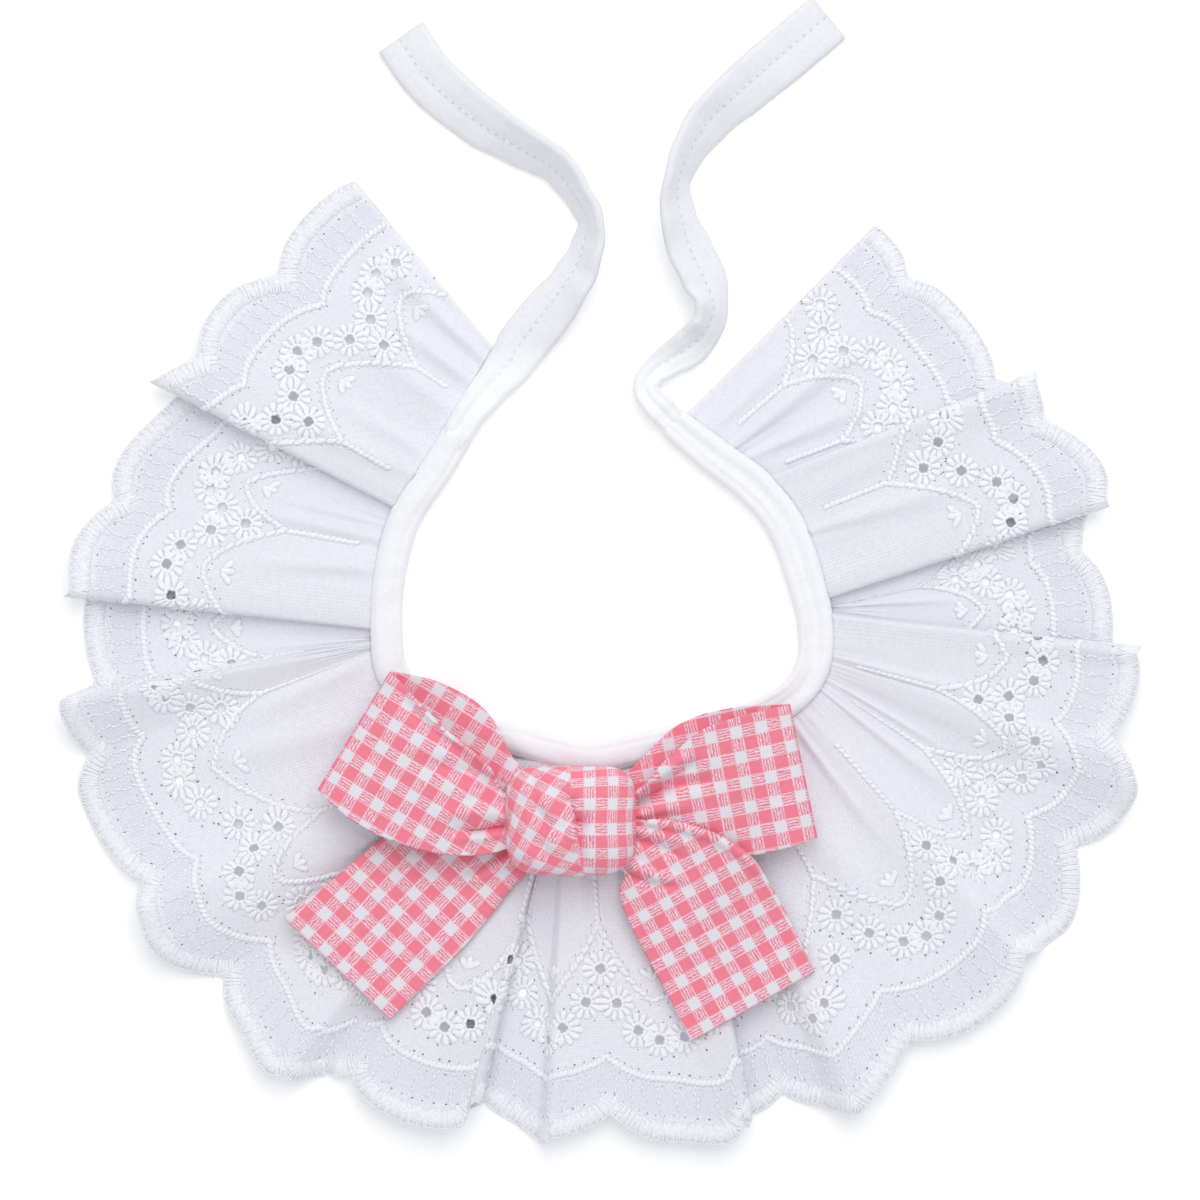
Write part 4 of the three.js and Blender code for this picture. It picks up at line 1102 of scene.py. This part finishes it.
# The ties: the same tape running on free, folded in half and stitched along its open edges, then
# cut straight across. Each twists on the way so that one edge stands up from the table.
LEFT_TIE = (  # x, y, width, thickness, roll in degrees
    (-47.0, 125.4, 12.6, 1.6, 4),
    (-40.6, 116.2, 12.6, 1.6, 14),
    (-29.8, 106.6, 12.6, 1.6, 28),
    (-19.9, 100.1, 12.6, 1.6, 46),
    (-10.4, 94.5, 12.6, 1.6, 60),
    (-4.8, 86.7, 12.6, 1.6, 66),
    (-2.5, 82.2, 12.6, 1.6, 66),
    (-3.4, 75.9, 12.6, 1.6, 56),
    (-6.7, 68.6, 12.6, 1.6, 40),
    (-13.0, 60.2, 12.6, 1.6, 20),
    (-18.0, 54.1, 12.0, 1.8, 8),
    (-21.6, 48.6, 10.6, 2.3, 3),
    (-25.7, 43.6, 8.6, 3.1, 0),
    (-31.1, 36.7, 7.2, 4.3, 0),
    (-33.1, 33.3, 6.9, 4.1, 0),
    (-35.1, 30.0, 5.6, 3.2, 0),
)
RIGHT_TIE = (
    (53.2, 130.0, 12.6, 1.6, -4),
    (43.8, 122.0, 12.6, 1.6, -10),
    (34.9, 114.4, 12.6, 1.6, -26),
    (25.7, 106.0, 12.6, 1.6, -42),
    (20.6, 98.9, 12.6, 1.6, -56),
    (17.7, 91.4, 12.6, 1.6, -64),
    (18.0, 83.4, 12.6, 1.6, -52),
    (20.6, 75.7, 12.6, 1.6, -32),
    (23.8, 69.1, 12.6, 1.6, -34),
    (25.8, 62.6, 11.0, 1.6, -50),
    (24.6, 57.2, 10.0, 1.8, -46),
    (20.6, 52.6, 9.0, 2.2, -24),
    (15.6, 49.4, 7.4, 2.8, -8),
    (11.8, 46.4, 6.0, 3.4, 0),
    (10.2, 43.2, 5.6, 3.8, 0),
    (11.6, 40.4, 6.0, 4.0, 0),
    (13.6, 38.4, 6.7, 4.2, 0),
    (16.0, 35.9, 6.4, 3.4, 0),
    (18.4, 33.4, 5.0, 2.0, 0),
)
TIE_RINGS = 220
TIE_SIDES = 28
STITCH_LINE = -0.04  # where the ties are stitched, as a share of their width from the middle
STITCH_PITCH = 2.1
FIRST_STITCH = 2.0
EDGE_ROLL = (0.3, 0.84, 0.1)  # where it thickens along each edge: share, place from the middle, width
STITCHED_SHARE = 0.82  # of a tie's length, up to where it goes into the binding
STITCH_LIFT = 0.16
JOINT_FROM, JOINT_TO = 0.053, 0.041  # places along Y, in metres, where the ties take the binding's tone
# The ties' tape: a darker copy of the binding's, as painted shade, fading to its tone at the joint.
tie_tape_shaded = tape_material("tie_tape_shaded", (0.77, 0.775, 0.82), (0.88, 0.885, 0.915))
tree = tie_tape_shaded.node_tree
tape_tone = next(node for node in tree.nodes if node.type == "VALTORGB")
tone = tape_tone.inputs["Fac"].links[0].from_socket
spot = wire(tree, "ShaderNodeTexCoord").outputs["Object"]
spot_parts = wire(tree, "ShaderNodeSeparateXYZ", {0: spot})
joint = fade(tree, spot_parts.outputs["Y"], JOINT_FROM, JOINT_TO)
flat = wire(tree, "ShaderNodeUVMap", uv_map="flat").outputs[0]
flat_parts = wire(tree, "ShaderNodeSeparateXYZ", {0: flat})
# A painted shade groove along the stitch line, deepest between the stitches.
stitch_groove_shade = fade(tree, sums(tree, "ABSOLUTE", flat_parts.outputs["Y"]), 0.55, 0.1)
between = sums(tree, "SUBTRACT", flat_parts.outputs["X"], FIRST_STITCH + STITCH_PITCH / 2)
between = sums(tree, "COSINE", sums(tree, "MULTIPLY", between, 2 * math.pi / STITCH_PITCH))
shade_between_stitches = fade(tree, between, 0.1, 0.8)
stitch_groove_shade = sums(tree, "MULTIPLY", stitch_groove_shade, sums(tree, "MULTIPLY_ADD", shade_between_stitches, 0.7, 0.3))
tone = sums(tree, "MULTIPLY_ADD", stitch_groove_shade, -0.5, sums(tree, "MINIMUM", tone, 0.75))
tone = sums(tree, "MULTIPLY_ADD", joint, 0.9, tone)
tree.links.new(tone, tape_tone.inputs["Fac"])
shadow = tape_tone.color_ramp.elements.new(0.0)
shadow.color = (0.6, 0.605, 0.66, 1)
bright = tape_tone.color_ramp.elements.new(1.0)
bright.color = (0.95, 0.955, 0.975, 1)
tie_thread, shader = new_material("tie_thread", (0.9, 0.9, 0.93), 0.6)
thread_fibres(tie_thread.node_tree, shader, 0.3, 0.0001)


def tie_piece(name, rows):
    """A tie along its table's rows as one tube, and the row of stitches along it."""
    points, headings, others, length = level_path(rows, TIE_RINGS)
    width, thickness, roll = others.T
    roll = np.radians(roll)[:, None]
    angle = (np.arange(TIE_SIDES) + 0.5) * 2 * math.pi / TIE_SIDES
    across = np.arcsin(np.cos(angle)) * 2 / math.pi * 1.05
    aside = across[None, :] * width[:, None] / 2
    above = np.sign(np.sin(angle)) * (1 - np.abs(across) ** 6) ** (1 / 3)
    above = above[None, :] * thickness[:, None] / 2
    share = aside / width[:, None]
    run = np.linspace(0, length, TIE_RINGS + 1)[:, None]
    above = above * (1 - hump(share, 0.4, STITCH_LINE, 0.09))
    above = above * (1 + hump(np.abs(across), *EDGE_ROLL))
    slack = 0.16 * np.sin(run * 0.31 + share * 3) + 0.07 * np.sin(run * 0.83 - share * 5)
    above = above + slack * np.sin(run / length * math.pi)
    left = left_of(headings)[:, None, :]
    level = points[:, None, :] + left * (aside * np.cos(roll) - above * np.sin(roll))[..., None]
    height = aside * np.sin(roll) + above * np.cos(roll)
    lowest = height.min(axis=1)[:, None]
    height = height - lowest + TAPE_WALL / 2
    ring_points = np.concatenate([level, height[..., None]], -1)
    upper = int(np.argmin(np.abs(across / 2 - STITCH_LINE) + (np.sin(angle) < 0)))
    flats = tube_flats(ring_points, run[:, 0])
    flats[..., 1] -= flats[:, upper : upper + 1, 1]
    made = tube_mesh(name, ring_points, flats)
    piece = finish_piece(name, made, tie_tape_shaded, TAPE_WALL)
    stitched = np.arange(FIRST_STITCH, length * STITCHED_SHARE, STITCH_PITCH)
    at = stitched / length * TIE_RINGS
    near = np.round(at).astype(int)
    middles = ring_points[near, upper]
    ahead = ring_points[np.minimum(near + 2, TIE_RINGS), upper] - middles
    ahead /= np.linalg.norm(ahead, axis=1)[:, None]
    side = ring_points[near, upper - 1] - ring_points[near, upper + 1]
    side /= np.linalg.norm(side, axis=1)[:, None]
    up = np.cross(side, ahead)
    up *= np.sign(up[:, 2])[:, None]
    shape = bead(1.25, 0.34, 0.3, fullness=0.8)
    x, y, z = shape[0].T
    middles = middles + up * STITCH_LIFT
    placed = middles[:, None, :] + ahead[:, None] * x[:, None] + side[:, None] * y[:, None]
    placed = (placed + up[:, None] * z[:, None]) * MM
    row = joined_stitches(name + "_stitches", [(placed, shape[1])], tie_thread)
    return piece, row


left_tie, left_stitches = tie_piece("left_tie_tape", LEFT_TIE)
right_tie, right_stitches = tie_piece("right_tie_tape", RIGHT_TIE)
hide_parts("tie_left")
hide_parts("tie_right")

# The bow: strips of pink and white gingham sewn double, folded into two loops with two tails cut on
# the slant, and held by a short strip wrapped round the middle as the knot.
CHECK = 5.9
HATCH = 0.68
PINK = (0.91, 0.2, 0.28)
PALER_PINK = (0.95, 0.4, 0.47)
PALE_LINE = (0.92, 0.7, 0.765)
PINK_BETWEEN = (0.83, 0.26, 0.35)
SQUARE_WHITE = (0.8, 0.775, 0.835)
GINGHAM_THREAD = 0.42
LINE_SHARE = 0.09  # how much of a check the fine white lines round it take
gingham, shader = new_material("pink_gingham", PINK, 0.75)
shader.inputs["Sheen Weight"].default_value = 0.1
tree = gingham.node_tree
flat, threads = woven(tree, GINGHAM_THREAD)
# The fine hatching wavers a little, as worn threads do.
drift = wire(tree, "ShaderNodeTexNoise", {"Vector": flat, "Scale": 1.3, "Detail": 1.0}).outputs["Color"]
drift = vectors(tree, "SUBTRACT", {0: drift, 1: (0.5, 0.5, 0.5)})
drift = vectors(tree, "SCALE", {0: drift, "Scale": 0.9})
drawn = vectors(tree, "ADD", {0: flat, 1: drift})
flat_parts = wire(tree, "ShaderNodeSeparateXYZ", {0: flat})
drawn_parts = wire(tree, "ShaderNodeSeparateXYZ", {0: drawn})
bands, lines, hatches = [], [], []
for axis in ("X", "Y"):
    turn = sums(tree, "MULTIPLY", flat_parts.outputs[axis], 2 * math.pi / CHECK)
    wave = sums(tree, "SINE", turn)
    bands.append(fade(tree, wave, -0.28, -0.04))
    near_edge = sums(tree, "ABSOLUTE", sums(tree, "ADD", wave, 0.16))
    lines.append(fade(tree, near_edge, 2.6 * LINE_SHARE, LINE_SHARE))
    fine = sums(tree, "MULTIPLY", drawn_parts.outputs[axis], 2 * math.pi / HATCH)
    hatches.append(fade(tree, sums(tree, "SINE", fine), -0.25, 0.55))
hatch = sums(
    tree,
    "ADD",
    sums(tree, "MULTIPLY", hatches[0], sums(tree, "SUBTRACT", 1.0, bands[0])),
    sums(tree, "MULTIPLY", hatches[1], bands[0]),
)
worn = wire(tree, "ShaderNodeTexNoise", {"Vector": flat, "Scale": 1.3, "Detail": 3.0}).outputs["Fac"]
worn = fade(tree, worn, 0.3, 0.62)
hatch = sums(tree, "MULTIPLY", hatch, sums(tree, "MULTIPLY_ADD", worn, 0.35, 0.65))
pink = mixed_colour(tree, sums(tree, "MULTIPLY", threads["Slub"], 0.3), PINK, PALER_PINK)
both = sums(tree, "MULTIPLY", *bands)
neither = sums(tree, "MULTIPLY", *(sums(tree, "SUBTRACT", 1.0, band) for band in bands))
outline = sums(tree, "MULTIPLY_ADD", worn, 0.5, 0.15)
outline = sums(tree, "MULTIPLY", sums(tree, "MAXIMUM", *lines), outline)
cloth = mixed_colour(tree, hatch, PINK_BETWEEN, PALE_LINE)
for amount, laid_over in ((neither, SQUARE_WHITE), (both, pink), (outline, PALE_LINE)):
    cloth = mixed_colour(tree, amount, cloth, laid_over)
tree.links.new(cloth, shader.inputs["Base Color"])
raise_threads(tree, shader, threads["Height"], 0.4, 0.00012)

STRIP_THICKNESS = 1.0
STRIP_CELLS = 64  # of the mesh, across a strip
LEFT_LOOP = (  # foot x, y, z, head x, y, z, from inside the knot out and back
    (-16.6, -61.6, 11.6, -16.6, -54.0, 13.0),
    (-22.6, -64.2, 11.6, -22.6, -51.4, 14.0),
    (-27.6, -65.4, 12.4, -25.9, -45.3, 15.6),
    (-38.0, -65.0, 13.6, -36.1, -36.4, 17.2),
    (-51.1, -60.9, 14.4, -43.4, -28.9, 16.6),
    (-60.0, -55.6, 14.0, -47.1, -24.8, 14.6),
    (-65.3, -50.6, 11.4, -48.7, -23.5, 11.6),
    (-61.4, -53.6, 8.8, -46.4, -23.6, 8.8),
    (-50.9, -58.6, 8.4, -38.0, -25.6, 7.6),
    (-35.6, -61.4, 8.4, -27.0, -32.2, 7.0),
    (-23.4, -61.6, 9.4, -20.6, -43.2, 8.4),
    (-16.6, -60.6, 10.2, -14.6, -49.0, 9.4),
)
RIGHT_LOOP = (
    (3.4, -61.0, 10.8, 3.4, -53.2, 13.0),
    (8.7, -63.0, 9.8, 8.6, -50.4, 14.0),
    (14.9, -65.6, 9.6, 14.9, -43.7, 15.4),
    (24.3, -67.0, 9.6, 23.1, -36.6, 16.8),
    (34.9, -65.8, 10.4, 32.5, -33.3, 16.2),
    (45.0, -63.3, 12.4, 39.8, -31.5, 14.2),
    (49.6, -61.7, 10.0, 43.2, -30.8, 11.4),
    (45.6, -62.6, 7.4, 39.9, -31.0, 8.6),
    (34.9, -63.8, 7.0, 28.3, -32.0, 7.4),
    (23.1, -63.4, 6.6, 18.0, -35.6, 7.0),
    (12.8, -60.6, 7.0, 8.6, -44.2, 8.2),
    (5.0, -59.0, 8.6, 2.6, -50.0, 9.0),
)
LEFT_TAIL = (
    (-12.6, -65.6, 8.0, -16.4, -57.6, 7.2),
    (-17.9, -70.4, 7.0, -23.4, -58.6, 5.7),
    (-20.6, -73.0, 6.6, -29.4, -57.0, 5.7),
    (-24.8, -78.5, 6.2, -38.0, -57.6, 5.9),
    (-32.3, -87.7, 6.2, -49.2, -61.1, 6.2),
    (-40.8, -95.9, 6.5, -61.5, -70.7, 6.6),
    (-49.2, -104.3, 7.0, -74.1, -80.6, 7.0),
)
RIGHT_TAIL = (
    (3.8, -57.2, 12.8, 0.8, -65.8, 9.2),
    (10.2, -57.3, 13.9, 5.6, -70.6, 8.6),
    (16.6, -57.6, 14.0, 4.4, -74.4, 8.0),
    (26.0, -60.6, 13.4, 5.8, -79.9, 7.4),
    (33.7, -65.3, 12.6, 10.5, -89.3, 7.1),
    (39.1, -72.4, 10.0, 14.5, -96.8, 7.1),
    (44.8, -83.0, 8.0, 18.0, -103.6, 7.5),
    (49.6, -93.1, 7.5, 20.8, -109.3, 7.8),
)


def off_path(level, path):
    """How far places lie to the left of a path through a few points, and how far along it they are."""
    path = np.asarray(path, float)
    best = np.full(len(level), np.inf)
    left, share = np.zeros(len(level)), np.zeros(len(level))
    for k, (start, end) in enumerate(zip(path[:-1], path[1:])):
        step = end - start
        t = np.clip(((level - start) @ step) / (step @ step), 0, 1)
        away = level - start - t[:, None] * step
        distance = np.linalg.norm(away, axis=1)
        side = np.sign(step[0] * away[:, 1] - step[1] * away[:, 0])
        nearer = distance < best
        best = np.where(nearer, distance, best)
        left = np.where(nearer, side * distance, left)
        share = np.where(nearer, (k + t) / (len(path) - 1), share)
    return left, share


def step_across(off):
    """Up on the left of a line and down on its right, by 1 at one width away, and level further out."""
    return off * np.exp(0.5 - 0.5 * off * off)


def fold_lift(level, folds):
    """How far folds raise the cloth: a step up on a path's left and a ridge along it, dying away."""
    lift = np.zeros(len(level))
    for path, step, ridge, width in folds:
        left, share = off_path(level, path)
        off = left / width
        shape = step * step_across(off) + ridge * np.exp(-off * off)
        lift += shape * (1 - smoothstep(0.55, 1, share)) * (0.6 + 0.4 * smoothstep(0, 0.1, share))
    return lift


LOOP_TURN = 6  # the row of a loop's table where it turns back
LOOP_RETURN = 5.0  # cloth in the turn
# Folds, from the knot outwards: a path, how far its left side stands up, the ridge along it, width.
LEFT_LOOP_EDGE = smooth_path(np.array(LEFT_LOOP)[:, 3:5], np.linspace(1, 5, 33))  # stands up as a lip
LEFT_LOOP_FOLDS = (
    (LEFT_LOOP_EDGE, -1.3, 0, 2.0),
    (((-20.7, -53.1), (-25.6, -47.8), (-36.5, -45.1), (-46.4, -43.5)), 0, -1.9, 2.2),
    (((-20.5, -58.8), (-28.0, -60.2), (-36.2, -60.3)), 1.1, -1.9, 0.9),
    (((-20.0, -56.0), (-30.0, -55.2), (-42.0, -56.2)), 0, 1.2, 1.7),
    (((-20.0, -50.8), (-24.5, -46.6), (-31.0, -43.4)), 0, 0.9, 1.1),
)
RIGHT_LOOP_FOLDS = (
    (((6.8, -52.9), (11.6, -49.6), (17.6, -45.2), (24.5, -41.2)), 1.8, 0, 1.4),
    (((7.0, -54.0), (14.7, -50.3), (20.1, -48.9), (30.4, -47.4)), 0.0, -2.3, 1.5),
    (((7.0, -56.0), (14.0, -54.6), (23.0, -54.0)), 0, 1.2, 1.2),
    (((7.5, -58.4), (17.0, -59.4), (28.0, -61.6)), 0.7, -1.2, 1.3),
    (((9.0, -48.4), (14.0, -43.6), (21.0, -39.4)), 0, -0.8, 1.0),
)
LEFT_TAIL_FOLDS = (
    (((-19.5, -65.0), (-26.9, -69.5), (-34.6, -72.8)), 0.7, 0.9, 1.2),
    (((-18.0, -68.5), (-24.5, -75.5), (-30.5, -83.5)), 0, 0.9, 1.2),
    (((-20.0, -61.0), (-31.0, -62.6), (-43.0, -68.0)), 0, 0.9, 1.6),
)
RIGHT_TAIL_FOLDS = (
    (
        ((8.0, -57.2), (18.5, -58.9), (26.4, -61.5), (31.8, -64.8), (36.6, -69.8), (40.6, -77.0)),
        0,
        1.4,
        0.8,
    ),
    (((4.3, -66.6), (8.4, -69.9), (13.5, -71.6), (21.3, -72.4)), 1.3, 0.4, 0.9),
    (((6.8, -61.0), (13.0, -62.8), (21.0, -67.2)), 0.5, -1.5, 1.1),
    (((8.0, -59.6), (17.0, -61.6), (25.0, -66.0)), 0, 0.6, 0.8),
)


def bow_strip(name, node, rows, steps, cut, turn, folds):
    """A strip between its two edges. Its checks run square to cut, the straight end or far edge."""
    rows = np.asarray(rows, float)
    bm = bmesh.new()
    bmesh.ops.create_grid(bm, x_segments=steps, y_segments=STRIP_CELLS, size=0.5)
    place = np.array([vert.co[:2] for vert in bm.verts]) + 0.5
    at = place[:, 0] * (len(rows) - 1)
    share = place[:, 1:2]
    foot, head = smooth_path(rows[:, :3], at), smooth_path(rows[:, 3:], at)
    points = foot + (head - foot) * share
    start, end = np.asarray(cut, float)
    along_cut = (end - start) / np.linalg.norm(end - start)
    from_cut = points[:, :2] - start
    out = np.abs(from_cut @ left_of(along_cut))
    back = smoothstep(turn - 0.4, turn + 0.4, at)
    flat = np.stack([np.where(back < 0.5, -out, out) + LOOP_RETURN * back, from_cut @ along_cut], -1)
    points[:, 2] += fold_lift(points[:, :2], folds) * (1 - smoothstep(turn - 1.2, turn - 0.3, at))
    uv = bm.loops.layers.uv.new("flat")
    for vert, point, spot in zip(bm.verts, points, flat):
        vert.co = Vector(point) * MM
        for loop in vert.link_loops:
            loop[uv].uv = spot
    made = bpy.data.meshes.new(name)
    bm.to_mesh(made)
    bm.free()
    piece = finish_piece(name, made, gingham, STRIP_THICKNESS)
    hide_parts(node)
    return piece


def ends_of(row):
    return row[:2], row[3:5]


NO_TURN = 99
STRIPS = (  # piece, node, table, steps, row of the far edge or cut, row of the turn, folds
    ("left_loop", "bow_loop_left", LEFT_LOOP, 170, LOOP_TURN, LOOP_TURN, LEFT_LOOP_FOLDS),
    ("right_loop", "bow_loop_right", RIGHT_LOOP, 170, LOOP_TURN, LOOP_TURN, RIGHT_LOOP_FOLDS),
    ("left_tail", "bow_tail_left", LEFT_TAIL, 100, -1, NO_TURN, LEFT_TAIL_FOLDS),
    ("right_tail", "bow_tail_right", RIGHT_TAIL, 100, -1, NO_TURN, RIGHT_TAIL_FOLDS),
)
bow_strips = {
    name: bow_strip(name, node, rows, steps, ends_of(rows[far]), turn, folds)
    for name, node, rows, steps, far, turn, folds in STRIPS
}

# The knot: a short strip wrapped round the middle of the bow. The end of the wrap is laid over its
# start, as two panels that cross at a pinch. It is open below, where it rests on the lace.
KNOT_CENTRE = (-7.1, -57.6)
KNOT_BOTTOM = 4.3
KNOT_SIZE = (29.4, 24.6, 16.4)
KNOT_SQUARENESS = 2.8
KNOT_CORNERS = (4.8, 3.9)  # how square its outline is above and below the middle
KNOT_WALL = 0.8
KNOT_LEAN = math.radians(30)
KNOT_OPENING = math.radians(84)  # how far down the shell goes
KNOT_EDGE = (
    (-8.7, -44.7),
    (-8.0, -50.3),
    (-6.5, -53.9),
    (-5.3, -57.7),
    (-5.8, -60.6),
    (-5.2, -64.9),
    (-3.5, -70.9),
)
EDGE_STEP, EDGE_WIDTH = 1.7, 0.9
EDGE_CREASE = (1.5, 0, 0.45)  # creases: depth, place to the left of the wrap's edge, width
KNOT_CREASES = ((0.9, -7.5, 1.3), (-0.5, -5, 1.4))
KNOT_PINCH = (-4.6, -57.6)
PINCH_DEPTH, PINCH_WIDTH = 2.8, math.sqrt(2.6)
bm = bmesh.new()
bmesh.ops.create_uvsphere(bm, u_segments=136, v_segments=76, radius=1)
sphere = np.array([vert.co[:] for vert in bm.verts])
tilt = np.arcsin(np.clip(sphere[:, 2], -1, 1))
turn = np.arctan2(sphere[:, 1], sphere[:, 0])
corner = np.where(turn > 0, *KNOT_CORNERS)
rim = signed_power(np.cos(tilt), 2 / KNOT_SQUARENESS)
x = KNOT_SIZE[0] / 2 * rim * signed_power(np.cos(turn), 2 / corner)
y = KNOT_SIZE[1] / 2 * rim * signed_power(np.sin(turn), 2 / corner)
top = signed_power(np.sin(tilt), 2 / KNOT_SQUARENESS)
level = np.stack([KNOT_CENTRE[0] + x, KNOT_CENTRE[1] + y], -1)
left, share = off_path(level, KNOT_EDGE)
over = np.clip(np.sin(tilt), 0, 1)
lower = smoothstep(0.42, 0.62, share) - 0.45 * (1 - smoothstep(0.3, 0.5, share))
step = -lower * EDGE_STEP * step_across(left / EDGE_WIDTH) - hump(left, *EDGE_CREASE)
pinch = hump(np.linalg.norm(level - KNOT_PINCH, axis=1), PINCH_DEPTH, 0, PINCH_WIDTH)
slack = 0.45 * np.sin(0.55 * x + 0.9 * y + 1) * np.exp(-((x + 7) ** 2) / 60)
bend = sum(hump(left, *crease) for crease in KNOT_CREASES)
rise = KNOT_BOTTOM + KNOT_SIZE[2] / 2 * (1 + top) + over * (step - pinch + slack - bend)
drop = (1 - top) * KNOT_SIZE[2] / 2
from_middle = np.hypot(x / KNOT_SIZE[0], y / KNOT_SIZE[1]) + 1e-6
u = x + drop * (x / KNOT_SIZE[0] / from_middle) ** 3
v = y + drop * (y / KNOT_SIZE[1] / from_middle) ** 3
cos, sin = math.cos(KNOT_LEAN), math.sin(KNOT_LEAN)
leaning = (u * cos - v * sin, u * sin + v * cos)
uv = bm.loops.layers.uv.new("flat")
bm.verts.index_update()
for vert, point, height in zip(bm.verts, level, rise):
    vert.co = (point[0] * MM, point[1] * MM, height * MM)
for face in bm.faces:
    corners = [loop.vert.index for loop in face.loops]
    on_left = left[corners].mean() < 0
    for loop in face.loops:
        k = loop.vert.index
        loop[uv].uv = (leaning[0][k], leaning[1][k]) if on_left else (u[k], v[k])
underneath = [vert for vert, place in zip(list(bm.verts), tilt) if place < -KNOT_OPENING]
bmesh.ops.delete(bm, geom=underneath, context="VERTS")
made = bpy.data.meshes.new("bow_knot_wrap")
bm.to_mesh(made)
bm.free()
knot = finish_piece("bow_knot_wrap", made, gingham, KNOT_WALL)
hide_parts("bow_knot")
